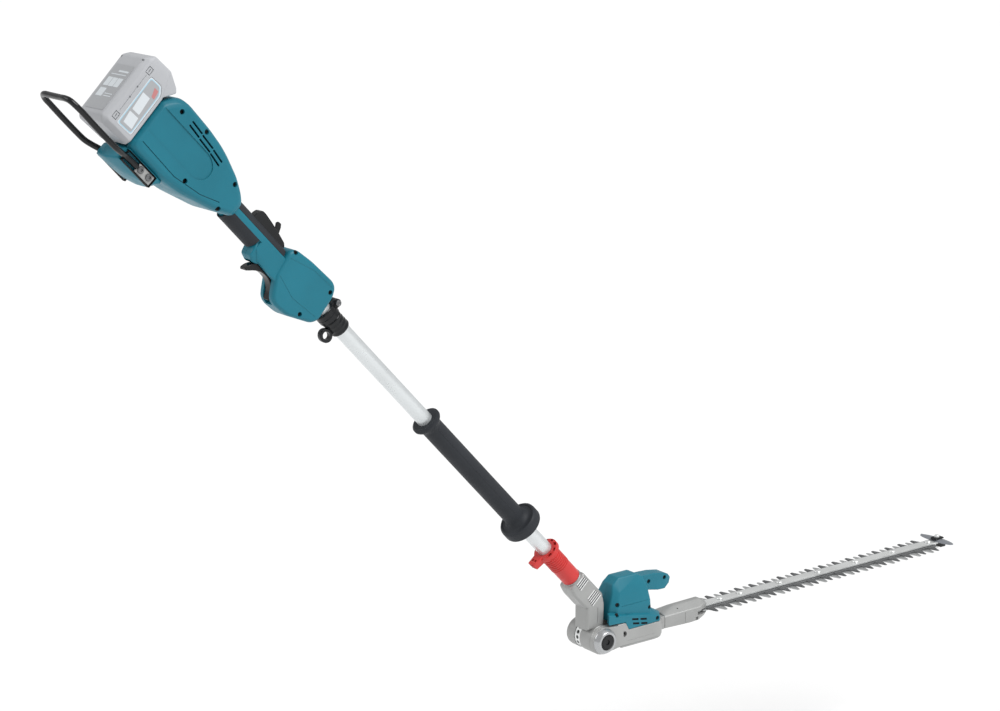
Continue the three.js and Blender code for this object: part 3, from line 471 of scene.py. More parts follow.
def piece(name, o, body, slot, place, *nodes, material=None, angle=33):
    """Puts a finished solid in place: its name, finish, body and the nodes it stands for."""
    mesh = o.data
    mesh.transform(MM @ place)
    bm = bmesh.new()
    bm.from_mesh(mesh)
    bmesh.ops.remove_doubles(bm, verts=bm.verts, dist=2e-7)
    for f in bm.faces:
        f.smooth = True
    for e in bm.edges:
        e.smooth = len(e.link_faces) == 2 and e.calc_face_angle(0) < radians(angle)
    mesh_from(bm, mesh)
    mesh.materials.clear()
    mesh.materials.append(material or MATERIAL[slot])
    for p in mesh.polygons:
        p.material_index = 0
    o.name = mesh.name = name
    normals = o.modifiers.new("even", "WEIGHTED_NORMAL")
    normals.keep_sharp = True
    if nodes:
        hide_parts(*nodes)
    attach(o, body)
    return o


def refine(name, node, body, slot, width, segments=2, angle=30, material=None):
    """A CAD node's mesh copied with its flat areas merged and its edges rounded."""
    o = placed(frame["nodes"][node].data.copy())
    bm = bmesh.new()
    bm.from_mesh(o.data)
    bmesh.ops.remove_doubles(bm, verts=bm.verts, dist=1e-6)
    bmesh.ops.dissolve_limit(bm, angle_limit=radians(1), verts=bm.verts, edges=bm.edges)
    mesh_from(bm, o.data)
    if width:
        bevel(o, width / 1000, segments, angle)
    return piece(name, o, body, slot, Matrix.Scale(1000, 4), node, material=material)


def screw(name, body, place, centre, direction, r=3.0, slot="dark_steel", size=1.7, height=1.2,
          material=None):
    """A round-headed screw with a star socket; centre is its seat and direction its outward axis."""
    head = lathe([(0, -1), (r * 0.9, -1), (r, 0), (r, height * 0.5), (r * 0.82, height * 0.9),
                  (r * 0.6, height), (0, height)], "z", 28)
    cut(head, prism(star(size, size * 0.72), 0.1, height + 2, "z"))
    turn = Vector(direction).to_track_quat("Z", "Y").to_matrix().to_4x4()
    moved(head, Matrix.Translation(centre) @ turn)
    # Near-black unless given a material: painted shade, as the screw sits deep in its hole
    return piece(name, head, body, slot, place, material=material or SCREW_SHADE)


# ------------------------------------------------------------------ rear housing, handle and block
REAR = at_stations([
    (1276.9, 25.5), (1264.6, 42.2), (1254, 50), (1240, 52.5), (1192, 50.5), (1162, 47),
    (1142, 42.5), (1107, 31), (1085, 19), (1071.7, 8), (1071.7, -14), (1102, -30),
    (1160, -49), (1200, -56), (1266, -57), (1273, -50)])
BLOCK = at_stations([
    (953, 21), (943, 29), (911, 34), (860, 37), (850, 33), (843, 20), (838, -22),
    (845, -33), (887, -53), (913, -55.5), (923, -52.5), (929, -46), (946, -22)])
SIDE = ((-1, "right"), (1, "left"))


def shell_body():
    """Both halves of the housing as one body: rear case, guard's base, handle and block."""
    rear = bevel(pod(rounded(REAR, 6, 3), 42, 15, 12, 3), 1.8, 2, 13)
    block = pod(rounded(BLOCK, 6, 4), 20.5, 7, 6, 5)
    base = hull(both([
        (-1280, 11, -63), (-1278, 11, -84), (-1268, 37, -56), (-1268, 37, -75),
        (-1208, 37, -56), (-1208, 37, -73), (-1244, 11, -82), (-1199, 11, -73),
        (-1190, 30, -55), (-1190, 11, -62)]), 3.5)
    core = ellipse_rod(14, 17, -1085, -930)
    strip = [(12.5, -3.2), (16.75, -3.2), (17, -1.6), (17.05, 1.5), (16.75, 3.8), (16.1, 6.6),
             (12.5, 6.6)]
    side = prism(strip, -1085, -930, "x")
    bridge = hull(both([
        (-926, 18, -30), (-926, 18, 6.7), (-999, 17, 6.7), (-999, 17, -16), (-985, 14, -27)]), 2.5)
    lug = hull(both([
        (-1002.5, 10, -16), (-1002.5, 10, 0), (-1000, 16, -16), (-998, 13, -29), (-987, 11, -33),
        (-977, 12, -29), (-970, 16, -16), (-970, 16, 0)]), 2.5)
    body = join(rear, base, core, side, mirror(side), bridge, lug, block)
    cut(body,
        pod(rounded([(x * 0.94 - 1174 * 0.06, z * 0.9) for x, z in REAR], 8), 38, 12, 10, 5),
        ellipse_rod(11, 13, -1120, -906),
        rod("x", PIPE_SEAT, -907, -830))
    cut(body,
        group(box((-990, -912), (-8.5, 8.5), (-70, -5)),
              box((-1036, -955.5), (-7.3, 7.3), (6, 60)),
              box((-990, -957), (8.3, 13.3), (4, 60))),
        moved(box((-1, 8), (-28, 28), (-47, 90)), POLE.inverted() @ BATTERY),
        group(*(box((-1272, -1206), ys, (-76.5, -57.5)) for ys in ((-60, -30.8), (30.8, 60)))))
    return body


REAR_SCREWS = [(1245, 34), (1195, 41), (1107, 19), (1102, -24), (1172, -32)]
BLOCK_SCREWS = [(944, 24), (854, 21), (872, -37)]
VENTS = [((1222, 36), (1200, 34)), ((1196, 33), (1172, 31)), ((1168, 30), (1147, 27))]


def slot_cutter(a, b, half, y0, y1):
    """A round-ended slot from station and height a to b, cut from y0 to y1."""
    (ta, va), (tb, vb) = a, b
    along = Vector((ta - tb, va - vb)).normalized()
    across = Vector((-along.y, along.x)) * half
    ring = []
    for centre, start in (((ta, va), -90), ((tb, vb), 90)):
        for k in range(7):
            w = radians(start + 30 * k)
            d = along * cos(w) * half + across * sin(w)
            ring.append((-(centre[0] + d.x), centre[1] + d.y))
    return prism(ring, y0, y1, "y")


def side_details(s):
    """What is sunk into one side of the housing."""
    panel = prism(rounded(at_stations([
        (1290, 21), (1165, 21), (1150, 12), (1147, 0), (1150, -12), (1165, -21), (1290, -21)]), 9),
        *span(s, 40.5, 50), "y")
    line = prism(rounded(at_stations([
        (1262, -38), (1190, -40), (1140, -30), (1108, -17), (1108, -15.6), (1140, -28.6),
        (1190, -38.6), (1262, -36.6)]), 0.4), *span(s, 40.4, 50), "y")
    holes = [rod("y", 4.0, *span(s, 36.5, 60), (-t, 0, v), 24) for t, v in REAR_SCREWS]
    small = [rod("y", 3.8, *span(s, 16.4, 40), (-t, 0, v), 24) for t, v in BLOCK_SCREWS]
    vents = [slot_cutter((ta, va - drop_by), (tb, vb - drop_by), 1.5, *span(s, 36.5, 60))
             for drop_by in (0, 7) for (ta, va), (tb, vb) in VENTS]
    crease = [prism(at_stations(q), *span(s, 20.1, 30), "y") for q in (
        [(946, 12), (900, 26), (852, 29), (852, 28.3), (900, 25.3), (946, 11.2)],
        [(941, -18), (900, -28), (848, -22), (848, -22.8), (900, -28.9), (941, -18.8)])]
    dot = rod("y", 1.1, *span(s, 30, 60), (-1246.5, 0, -60), 12)
    return (panel, line), [*holes, *small, *vents, *crease, dot]


full = shell_body()
for s, word in SIDE:
    half = meet(copy(full), box((-1300, -800), span(s, SPLIT, 70), (-120, 90)))
    shallow, sunk = side_details(s)
    cut(half, *shallow)
    cut(half, group(*sunk))
    piece(f"shell_{word}", half, "handle", "teal_plastic", POLE, f"housing_{word}")
    for i, (t, v) in enumerate(REAR_SCREWS):
        screw(f"rear_screw_{word}_{i + 1}", "handle", POLE, (-t, s * 36.9, v), (0, s, 0), 3.3)
    for i, (t, v) in enumerate(BLOCK_SCREWS):
        screw(f"block_screw_{word}_{i + 1}", "handle", POLE, (-t, s * 16.8, v), (0, s, 0), 3.1)
    sticker = hull([(-1194, s * 27, -51.8), (-1194, s * 35.2, -46.2), (-1150, s * 35.2, -36),
                    (-1146, s * 27, -40.5), (-1194, s * 24, -44), (-1150, s * 24, -32)], 0.3)
    piece(f"side_strip_{word}", sticker, "handle", "grey_plastic", POLE, material=STICKER)
drop(full)
for s, word in SIDE:                       # a near-black plate behind the vents: painted shade seen through them
    shade_plate = prism(rounded(at_stations([(1226, 40), (1142, 31), (1142, 16), (1226, 24)]), 3),
                 *span(s, 33.5, 36.2), "y", 0.4)
    piece(f"vent_shade_plate_{word}", shade_plate, "handle", "black_plastic", POLE, material=PAINTED_SHADE)


def grip_skin(upper):
    """The rubber over the handle's top or under it, cut free around the levers."""
    outer, inner = [], []
    low, high = (20.5, 159.5) if upper else (189, 351)
    for k in range(41):
        a = radians(low + (high - low) * k / 40)
        outer.append((17.05 * cos(a), 20.05 * sin(a)))
        inner.append((14.25 * cos(a), 17.25 * sin(a)))
    skin = prism(outer + inner[::-1], -1071.4, -953.4 if upper else -1003, "x", 0.7, 2)
    if upper:
        cut(skin, group(box((-1036, -940), (-7.4, 7.4), (0, 60)),
                        box((-990, -957), (8.2, 13.4), (0, 60))))
        cut(skin, hull(both([(-960, 30, 40), (-950, 30, 40), (-956.5, 30, 22), (-950, 30, 7.1)])))
    else:
        cut(skin, hull(both([(-1000, 30, -2), (-1000, 30, -40), (-1006.5, 30, -26), (-1008, 30, -40)])))
    return skin


piece("grip_top", grip_skin(True), "handle", "grip_rubber", POLE, "upper_grip")
piece("grip_under", grip_skin(False), "handle", "grip_rubber", POLE, "lower_grip")


# ------------------------------------------------------------------ battery
PACK_PANEL = [(-36.2, -34), (-5.5, -34), (-5.5, 38), (-14, 49), (-36.2, 49)]
PACK_MARK = [((-47.5, -38.7), 0, 1.2), ((-47.5, -38.7), 9.8, 11), ((-39.9, -38.7), 1.6, 9.4),
             ((-47.5, -46.3), 1.6, 9.4), ((-43.8, -42.4), 2.8, 8.2)]     # a framed bar, sunk in the case


def battery():
    outline = both([
        (-0.4, 40, -40), (-0.4, 34, -47), (-0.4, 40, 36),
        (-50, 40, -38), (-50, 34, -47), (-57, 33, -38),
        (-50, 40, 62), (-57, 33, 63), (-47, 36, 75), (-14, 36, 75), (-14, 40, 62)])
    pack = hull(outline, 3.2, 4)
    hook = hull(both([(-2, 38, 36), (-18, 38, 36), (13.5, 36, 57), (8, 36, 63), (-14, 36, 75),
                      (-18, 36, 75)]), 2, 3)
    body = join(pack, hook, box((-2, 7.5), (-26, 26), (-40, 34), 1))
    cut(body, group(box((-34, -18), (-13, 13), (68, 80)),
                    box((-60, -44), (-3, 3), (72.5, 80)),
                    *(box((-60, -54.8), (s * 31 - 3, s * 31 + 3), (58, 61)) for s in (-1, 1))))
    for s in (-1, 1):
        shallow, deep = span(s, 39.1, 45), span(s, 38, 45)
        marks = [box(xs, deep, (z + low, z + high)) for z in (-32, 47) for xs, low, high in PACK_MARK]
        cut(body, group(prism(rounded(PACK_PANEL, 4), *shallow, "y"), *marks),
            box((-43.6, -42.6), shallow, (-18, 45)),
            group(*(prism([(-45, z), (-43.1, z - 2.2), (-41.2, z), (-43.1, z + 2.2)], *deep, "y")
                    for z in (6, 24))))
    return body


piece("pack_case", battery(), "battery", "grey_plastic", BATTERY, "battery_case")
for s, word in SIDE:
    for name, outline, low, high, film in (
            ("panel", inset(PACK_PANEL, 0.8), 38.6, 39.45, LABEL),
            ("rim", inset(PACK_PANEL, 2.2), 39.3, 39.6, RIM),
            ("field", inset(PACK_PANEL, 3.5), 39.45, 39.75, LABEL_DARK),
            ("mark_1", [(-28, -26), (-11, -26), (-13, -8), (-30, -8)], 39.6, 39.85, LABEL),
            ("mark_2", [(-29, -4), (-15, -4), (-17, 24), (-31, 24)], 39.6, 39.85, LABEL),
            ("mark_3", [(-16.5, 27), (-11, 27), (-13, 40), (-21, 40)], 39.6, 39.85, ACCENT)):
        film_piece = prism(rounded(outline, 3.2 if name in ("panel", "rim", "field") else 1),
                           *span(s, low, high), "y")
        piece(f"pack_{name}_{word}", film_piece, "battery", "grey_plastic", BATTERY, material=film)
BACK_FILMS = [(-27, 27, -31, 46, LABEL_DARK), (-21, -8, 8, 23, LABEL), (-6.5, 6.5, 8, 23, LABEL),
              (8, 21, 8, 23, LABEL), (4, 21, -10, 4, LABEL), (-21, 0, -5, -3.6, LABEL),
              (-21, 0, -9, -7.6, LABEL), (-21, 21, 28, 29.4, LABEL), (-21, 6, 33, 36, LABEL)]
for i, (left, right, low, high, film) in enumerate(BACK_FILMS):
    depth = (-57.5, -56) if i == 0 else (-57.7, -57.3)
    patch = prism(rounded(rectangle((left, right), (low, high)), 0.5 if i else 3), *depth, "x")
    piece(f"pack_back_label_{i + 1}", patch, "battery", "grey_plastic", BATTERY, material=film)
button = hull(both([(-33.5, 12.5, 72.5), (-18.5, 12.5, 72.5), (-32, 11, 78), (-20, 11, 78)]), 1.1, 3)
cut(button, group(*(box((-31.2 + 2.4 * k, -30.4 + 2.4 * k), (-9, 9), (77.3, 80)) for k in range(5))))
piece("pack_button", button, "battery_button", "black_plastic", BATTERY, "battery_button")


# ------------------------------------------------------------------ trigger, levers and guard
def bezier_outline(start, *steps):
    """An outline from straight steps (x, z) and bent ones (bend x, bend z, end x, end z)."""
    out, here = [start], Vector(start)
    for step in steps:
        if len(step) == 2:
            out.append(step)
            here = Vector(step)
            continue
        bend, end = Vector(step[:2]), Vector(step[2:])
        out += [tuple(here * (1 - s) ** 2 + bend * 2 * s * (1 - s) + end * s * s)
                for s in (k / 9 for k in range(1, 10))]
        here = end
    return out


finger = prism(bezier_outline(
    (-987, -46), (-986, -34, -974, -25), (-960, -17, -940, -15), (-930, -17), (-923, -23, -916, -49),
    (-922, -54), (-929, -40, -937, -35), (-947, -29, -960, -32), (-970, -35, -978, -43), (-984, -48)),
    -8, 8, "y", 1.1, 3)
cut(finger, rod("y", 2.8, -12, 12, (-935, 0, -23.5), 24))
piece("trigger_blade", finger, "trigger", "black_plastic", POLE, "trigger")
press = prism(at_stations([
    (957, 13), (957, 21), (962, 25), (980, 29), (1000, 32.5), (1016, 34.5), (1023, 34.5), (1028, 31),
    (1030, 25), (1030, 15), (1000, 13)]), -6.8, 6.8, "y", 1.4, 3)
cut(press, group(*(box((-1026.5 + 3 * k, -1025.4 + 3 * k), (-5, 5), (34, 40)) for k in range(4))))
piece("lock_off_pad", press, "lock_off_lever", "black_plastic", POLE, "lock_off_lever")
flick = prism(at_stations([
    (966, 7), (966, 16), (969, 31), (974, 42), (977.5, 46), (983, 45.5), (985, 42), (981, 36), (977, 30),
    (976, 16), (976, 7)]), 8.8, 12.8, "y", 1.0, 3)
piece("reverse_tab", flick, "reverse_lever", "black_plastic", POLE, "reverse_lever")

ROUTE = [(1240.4, 35.8, -67), (1255, 35.8, -67.5), (1266, 36.5, -68.5), (1277, 42, -71),
         (1289, 46.4, -73), (1305, 47, -73.5), (1335, 47, -73.5), (1362, 47, -73), (1375, 45.5, -73),
         (1383, 40, -72.5), (1386, 31, -72.5), (1386, 14, -72.5)]
right = [(-t, -y, v) for t, y, v in ROUTE]
loop = tube(smooth_path(right + [(x, -y, z) for x, y, z in reversed(right)], 8), 4.4, 24)
piece("guard_rod", loop, "handle", "black_rod", POLE, "guard_loop", angle=60)
GUARD_SCREWS = ((1233.5, -66.5), (1216.5, -65.5))
for s, word in SIDE:
    plate = box((-1240, -1208), span(s, 36, 31.8), (-74.5, -59.5), 1.4)
    cut(plate, group(*(rod("y", 2.4, -60, 60, (-t, 0, v), 20) for t, v in GUARD_SCREWS)))
    piece(f"guard_plate_{word}", plate, "handle", "cast_alloy", POLE, f"guard_bracket_{word}")
    for i, (t, v) in enumerate(GUARD_SCREWS):
        head = lathe([(0, -25), (2.1, -25), (2.1, -36.3), (5.4, -36.3), (5.4, -37.6), (4.6, -38.7),
                      (3.4, -39), (0, -39)], "y", 36)
        cut(head, prism(star(2.9, 2.1), -42, -37.2, "y"))
        if s > 0:
            moved(head, Matrix.Scale(-1, 4, (0, 1, 0)))
        piece(f"guard_torx_{word}_{i + 1}", moved(head, Matrix.Translation((-t, 0, v))), "handle",
              "dark_steel", POLE, f"guard_screw_{word}_{i + 1}")
    # A near-black frame lining the guard plate's pocket: painted shade on the pocket walls
    rim = prism(rounded(rectangle((-1266, -1206.3), (-76.2, -57.8)), 1), *span(s, 31.2, 37.6), "y")
    cut(rim, prism(rounded(rectangle((-1265.2, -1207.1), (-75.4, -58.6)), 1), -60, 60, "y"))
    cut(rim, rod("x", 5.2, -1280, -1235, (0, s * 36, -67.8), 20))
    piece(f"guard_pocket_shade_{word}", rim, "handle", "black_plastic", POLE, material=PAINTED_SHADE)

# ------------------------------------------------------------------ pipe, clamp, front grip and sleeve
piece("pipe", lathe([(12.7, -905), (12.7, -84.6), (12.3, -84), (11.2, -84), (11.2, -905)], "x", 96),
      "handle", "pipe_aluminium", POLE, "pole_pipe")


def ringed(low, high, base, crest, count, ends=0.6):
    """A profile stretch with fine raised rings from low to high."""
    out, step = [], (high - low) / count
    for k in range(count):
        a = low + step * k
        out += [(base, a), (base, a + step * 0.42), (crest, a + step * 0.55), (crest, a + step * 0.87)]
    return out + [(base, high)]


clamp = lathe([(13, -816), *ringed(-816, -787.6, 16.1, 16.6, 4)[1:], (15.8, -787), (13, -787)], "x", 72)
CLAMP_BOLT, EYE = (-825.5, 0, 21.5), (-801, -25)
join(clamp,
     lathe([(13, -833), (17.2, -833), (18, -832.2), (18, -826), (17.3, -825.4), (17.3, -824),
            (18, -823.4), (18, -815.8), (17.2, -815), (13, -815)], "x", 72),
     box((-832, -819), (-9.5, 9.5), (8, 23), 1.6),
     rod("y", 6.5, -9.5, 9.5, CLAMP_BOLT, 36))
join(clamp, prism(ellipse(12, 10.8, 48, *EYE), -4.5, 4.5, "y", 1.6, 3))
hole = prism(ellipse(7, 6.2, 40, *EYE), -20, 20, "y")
cut(clamp, group(rod("x", PIPE_SEAT, -840, -780, sides=72), hole),
    box((-840, -780), (-0.8, 0.8), (4, 40)), rod("y", 2.9, -20, 20, CLAMP_BOLT, 24))
piece("clamp", clamp, "handle", "black_plastic", POLE, "hanger_clamp")
bolt = lathe([(0, -12.6), (1.6, -12.8), (2.4, -13.6), (4.1, -13.6), (4.7, -13), (4.7, -9.8), (2.6, -9.8),
              (2.6, 9.8), (4.7, 9.8), (4.7, 12.8), (4.2, 13.2), (0, 13.2)], "y", 36, CLAMP_BOLT)
piece("clamp_bolt", bolt, "handle", "dark_steel", POLE, "hanger_bolt")

grip = lathe([
    (13, -557), (21.4, -557), (22.6, -556.2), (25, -554.6), (25, -551.4), (23.6, -549.2), (19.6, -544.6),
    (18.3, -542.4), (17.7, -539), (17.7, -298), (18.6, -293.6), (20.4, -290.6), (21.6, -288.4),
    (24, -286.6), (28.4, -286.2), (29, -287.2), (31.6, -287), (33.4, -285), (34, -281.6), (34, -270.4),
    (33.3, -268.8), (31.6, -268), (30.4, -268.6), (29.6, -271.5), (22, -273.6), (20.4, -271.2),
    (18.6, -270.6), (13, -270.6)], "x", 96)
for s in (-1, 1):                                      # its two mould lines
    seam = [(s * 17.1, -0.9), (s * 18.05, -0.5), (s * 18.05, 0.5), (s * 17.1, 0.9)]
    join(grip, prism(seam, -536, -306, "x"))
piece("grip_tube", grip, "handle", "grip_rubber", POLE, "front_grip")

sleeve = lathe([(13.1, -201), (18.4, -201), (19.2, -200.6), (22, -199.4), (22.5, -198.6), (22.5, -192.6),
                (22, -191.8), (17.4, -188.6), (16.6, -187), *ringed(-186, -154, 15.9, 17.1, 7),
                (16.5, -155), (16.5, -119.4), (16, -118.2), (13.1, -118.2)], "x", 96)
pockets = [moved(box((-204, -194), (17.2, 21.3), (-3.3, 3.3)),
                 Matrix.Rotation(radians(36 * k + 18), 4, "X"))
           for k in range(10) if k not in (6, 7, 8)]   # none where the tab stands
cut(sleeve, group(*pockets))
tab = hull(both([(-189, 8, -16), (-199, 9, -16), (-192, 6, -36), (-206, 7.5, -36), (-203, 10, -16)]),
           1.2, 3)
cut(tab, rod("x", 14, -215, -180, sides=48),
    group(*(box((-205, -192), ys, (-38, -25)) for ys in ((-5.2, -1), (1, 5.2)))))
piece("sleeve", join(sleeve, tab), "lock_sleeve", "red_plastic", POLE, "lock_sleeve")


# ------------------------------------------------------------------ neck, ring and hinge discs
def neck():
    """The casting between pipe and hinge: socket arm, column and half of the hinge's barrel."""
    arm = pod(rounded(at_stations([(116, 17), (116, -20), (100, -24), (62, -24), (46, -14), (44, 8),
                                   (52, 17)]), 4), 18, 6, 5, 5)
    collar = lathe([(0, -117.7), (16.6, -117.7), (17.5, -116.8), (17.5, -98), (0, -98)], "x", 64)
    column = [(-27, 60), (-27, 19), (10.5, 19), (11.5, 60), (9, 73), (2, 84), (-12, 82)]
    body = join(moved(arm, POLE_IN_HEAD), moved(collar, POLE_IN_HEAD),
                pod(rounded(column, 3), 18, 6, 5, 5))
    cut(body, rod("y", 24.6, 5, 45, sides=64))
    body = join(body, lathe([(0, -22), (24, -22), (25, -21), (25, 5), (0, 5)], "y", 72))
    cut(body,
        moved(rod("x", PIPE_SEAT, -125, -83.7, sides=48), POLE_IN_HEAD),
        moved(rod("x", 5, -90, -52, sides=24), POLE_IN_HEAD),
        rod("y", PIVOT_BORE, -30, 10, sides=32),
        rod("z", 3.4, 15, 40, (0, PIN_Y, 0), 24),
        rod("z", 5.3, 37.6, 62, (0, PIN_Y, 0), 24),
        box((-5, -4), (-19, -17.2), (30, 58)))
    return body


piece("neck", neck(), "handle", "cast_alloy", HEAD, "neck_casting")
lines, gaps = [], []                                   # two groups of thin pale strips with dark strips between: painted highlights and painted shade
for start, count, low, high in ((99, 4, -9, 13), (57, 5, -12, 12)):
    for k in range(count):
        heights = (low + 0.5 * k, high - 0.6 * k)
        for shift, strips, half_wide in ((0, lines, 0.8), (2.2, gaps, 0.9)):
            t = start + 4.4 * k + shift
            if k < count - 1 or not shift:
                strip = box((-t - half_wide, -t + half_wide), (-18.6, -17.2), heights)
                strips.append(moved(strip, POLE_IN_HEAD))
piece("neck_highlight_strips", group(*lines), "handle", "cast_alloy", HEAD, material=PAINTED_HIGHLIGHT)
piece("neck_shade_strips", group(*gaps), "handle", "cast_alloy", HEAD, material=GROOVE_SHADE)
spring = refine("lock_spring", "pin_spring", "handle", "dark_steel", 0)
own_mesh(spring)

ring = lathe([(8.4, 5.3), (23.4, 5.3), (24, 5.9), (24, 19), (23.4, 19.6), (8.4, 19.6)], "y", 96)
TURNS = [Matrix.Rotation(radians(-22.5 * i), 4, "Y") for i in range(7)]     # the ring's seven stops
cut(ring, *(moved(rod("z", 3.4, 18, 30, (0, PIN_Y, 0), 24), turn) for turn in TURNS))
piece("ring", ring, "head", "bright_steel", HEAD, "index_ring")
for i, turn in enumerate(TURNS):                       # near-black discs at the bottoms of its holes: painted shade
    shade_disc = moved(rod("z", 3.35, 18.1, 18.6, (0, PIN_Y, 0), 24), turn)
    piece(f"ring_hole_shade_{i + 1}", shade_disc, "head", "dark_steel", HEAD, material=PAINTED_SHADE)
cap = lathe([(0, -36.1), (13.5, -36.1), (13.5, -38.4), (12.8, -39.2), (10.6, -39.2), (10.2, -39.8),
             (0, -39.8)], "y", 64)
cut(cap, prism(ellipse(5, 5, 6), -45, -38, "y"))
piece("hinge_cap", cap, "head", "black_plastic", HEAD, "pivot_cap")
face = lathe([(14.2, -40.4), (17.6, -40.4), (18.6, -39.6), (22.6, -33.4), (22.6, -31), (14.2, -31)],
             "y", 96)
piece("hinge_face", face, "head", "bright_steel", HEAD, material=MACHINED)


# ------------------------------------------------------------------ gear case, covers and nose
def ring_of(radius, y, count=40):
    return [(x, y, z) for x, z in ellipse(radius, radius, count)]


def clevis(inner, outer, outer_radius):
    """One cheek of the hinge, from its inner face to its outer one."""
    side = 1 if outer > 0 else -1
    corners = [(34, -19.5), (34, 23.5), (24, 23.5)]
    return hull(ring_of(25, inner) + ring_of(outer_radius, outer)
                + [(x, inner, z) for x, z in corners]
                + [(x, side * 34, z + (3 if z < 0 else -3)) for x, z in corners])


WEDGE = [(42, 9), (42, 22.6), (45.2, 22.6), (51.5, 11), (51.5, 9)]
BULGE_AT = (110, 0, 0)


def gear_case():
    """The cast case with the hinge's two cheeks and an open tray for the crank."""
    bulge = lathe([(0, -17), (33, -17), (34, -16), (34, 8.6), (32.6, 10), (0, 10)], "z", 96, BULGE_AT)
    disc = [(0, -39.9), (17.8, -39.9), (18.5, -39.4), (24.6, -26.6), (25, -26), (0, -26)]
    body = join(clevis(-22.3, -30, 23.5), clevis(19.9, 34, 25), lathe(disc, "y", 80),
                lathe([(0, 34), (25, 34), (25, 36), (24.2, 40.8), (22.8, 42), (0, 42)], "y", 80),
                box((27.5, 44), (-34, 34), (-17, 23.5), 1.8),
                *(prism(WEDGE, *span(s, 31, 33.8), "y", 0.3) for s in (-1, 1)),
                box((40, 110), (-34, 34), (-17, 10), 1.4),
                bulge,
                box((110, 144.3), (-20, 20), (-13, 10), 1.2))
    cut(body,
        box((48, 110), (-30, 30), (-18, 11)),
        rod("z", 30, -18, 11, BULGE_AT, 64),
        box((110, 160), (-13.5, 13.5), (-5.5, 7.2)),
        rod("y", PIVOT_BORE, -50, 50, sides=40),
        lathe([(0, -45), (14.1, -45), (14.1, -35.9), (0, -35.9)], "y", 64),
        lathe([(14, -45), (22.7, -45), (22.7, -33.3), (18.7, -39.4), (14, -39.4)], "y", 96))
    keyhole = [(42 + 5.2 * cos(a), 4 + 5.2 * sin(a)) for a in
               (radians(-115 + 230 * k / 16) for k in range(17))]
    cut(body, group(*(prism(keyhole, *span(s, 29, 40), "y") for s in (-1, 1))))
    seams = [box((48, 108), span(s, 33.5, 36), (-9.4, -8.8)) for s in (-1, 1)]
    return cut(body, group(*seams))


piece("gear_case", gear_case(), "head", "cast_alloy", HEAD, "gear_housing")
for s, word in SIDE:
    screw(f"case_screw_{word}", "head", HEAD, (41.6, s * 29.6, 4), (0, s, 0), 4.2, size=2.4, height=1.8)
refine("floor_plate", "bottom_cover", "head", "cast_alloy", 0.8)


def nose():
    """The cover over the blade's root, open underneath for the teeth."""
    body = hull(both([
        (144.6, 20, -13), (144.6, 20, 8.5), (144.6, 8, 13), (156.6, 4, 15.5), (178, 4, 19.5),
        (236, 4, 20.5), (226, 20, 9), (230, 20, -6), (222, 20, -14), (200, 20, -15), (244, 14, 12),
        (245, 15, -4), (240, 13, -12), (228, 10, -15), (250, 6, 12), (256, 4, 5), (256, 4, -5),
        (249, 4, -12)]), 2.4, 4)
    cut(body, box((130, 270), (-13.5, 13.5), (-4.5, 7.2)), box((221, 270), (-40, 40), (-4.5, 3.4)))
    sunk = []
    for s in (-1, 1):
        sunk += [box((216, 222), span(s, 17, 24), (-13, -7)),
                 box((191.2, 192.6), span(s, 19.5, 24), (-20, 8)),
                 moved(rod("z", 1.5, -6, 6, sides=20), Matrix.Translation((180, s * 11.5, 15)))]
    return cut(body, group(*sunk))


piece("nose", nose(), "head", "cast_alloy", HEAD, "nose_cover")


# ------------------------------------------------------------------ motor housing
def tower(h, width=0.0):
    """The motor's tall housing, made smaller by h all round."""
    return hull(both([
        (18 + h, 20 - h, 27), (30 + h, 28 - h, 27), (106 - h, 28 - h, 27), (113 - h, 18 - h, 27),
        (19 + h, 20 - h, 50), (31 + h, 28 - h, 50), (105 - h, 27 - h, 50), (111 - h, 17 - h, 50),
        (27 + h, 18 - h, 76 - h / 2), (38 + h, 24 - h, 76 - h / 2), (100 - h, 23 - h, 76 - h / 2),
        (107 - h, 14 - h, 76 - h / 2), (31 + h, 13 - h, 89 - h), (44 + h, 13 - h, 99 - h),
        (84 - h, 13 - h, 99 - h), (100 - h, 12 - h, 90 - h)]), width)


def ledges(width):
    """The low ledge around the tower and its two corners at the hinge."""
    left = hull([
        (7, 34, 26.5), (7, 34, 44), (13, 22, 45), (13, 22, 26.5), (36, 34, 38), (48, 34, 24.2),
        (48, 34, 35.7), (48, 20, 24.2), (48, 20, 40)], width)
    front = hull(both([
        (44.5, 34, 10.6), (44.5, 34, 36.4), (104, 34, 25), (122, 33, 10.6), (122, 33, 20), (134, 16, 21),
        (134, 16, 10.6), (112, 12, 34)]), width)
    return [front, left, mirror(left)]


def knob(h, width=0.0):
    """The blunt arm in front of the tower's top."""
    return hull(both([
        (96, 12.5 - h, 66 + h), (96, 12.5 - h, 91 - h), (112, 12.5 - h, 64 + h), (135, 12 - h, 58 + h),
        (150, 12 - h, 57.5 + h), (161 - h, 10 - h, 65 + h), (150, 12 - h, 86 - h),
        (160 - h, 9 - h, 81 - h), (126, 12 - h, 90 - h), (168 - h, 5 - h, 73)]), width, 4)


LEDGE_VENTS = ((58.5, 25.4), (77, 21.9), (60.5, 17.4), (79, 13.9))


def ledge_vent(x, z, by):
    """A slanted slot's outline, made smaller by a distance."""
    return rounded([(x + by, z + by), (x + 14.5 - by, z - 2.8 + by), (x + 14.5 - by, z + 0.9 - by),
                    (x + by, z + 3.7 - by)], 0.8)


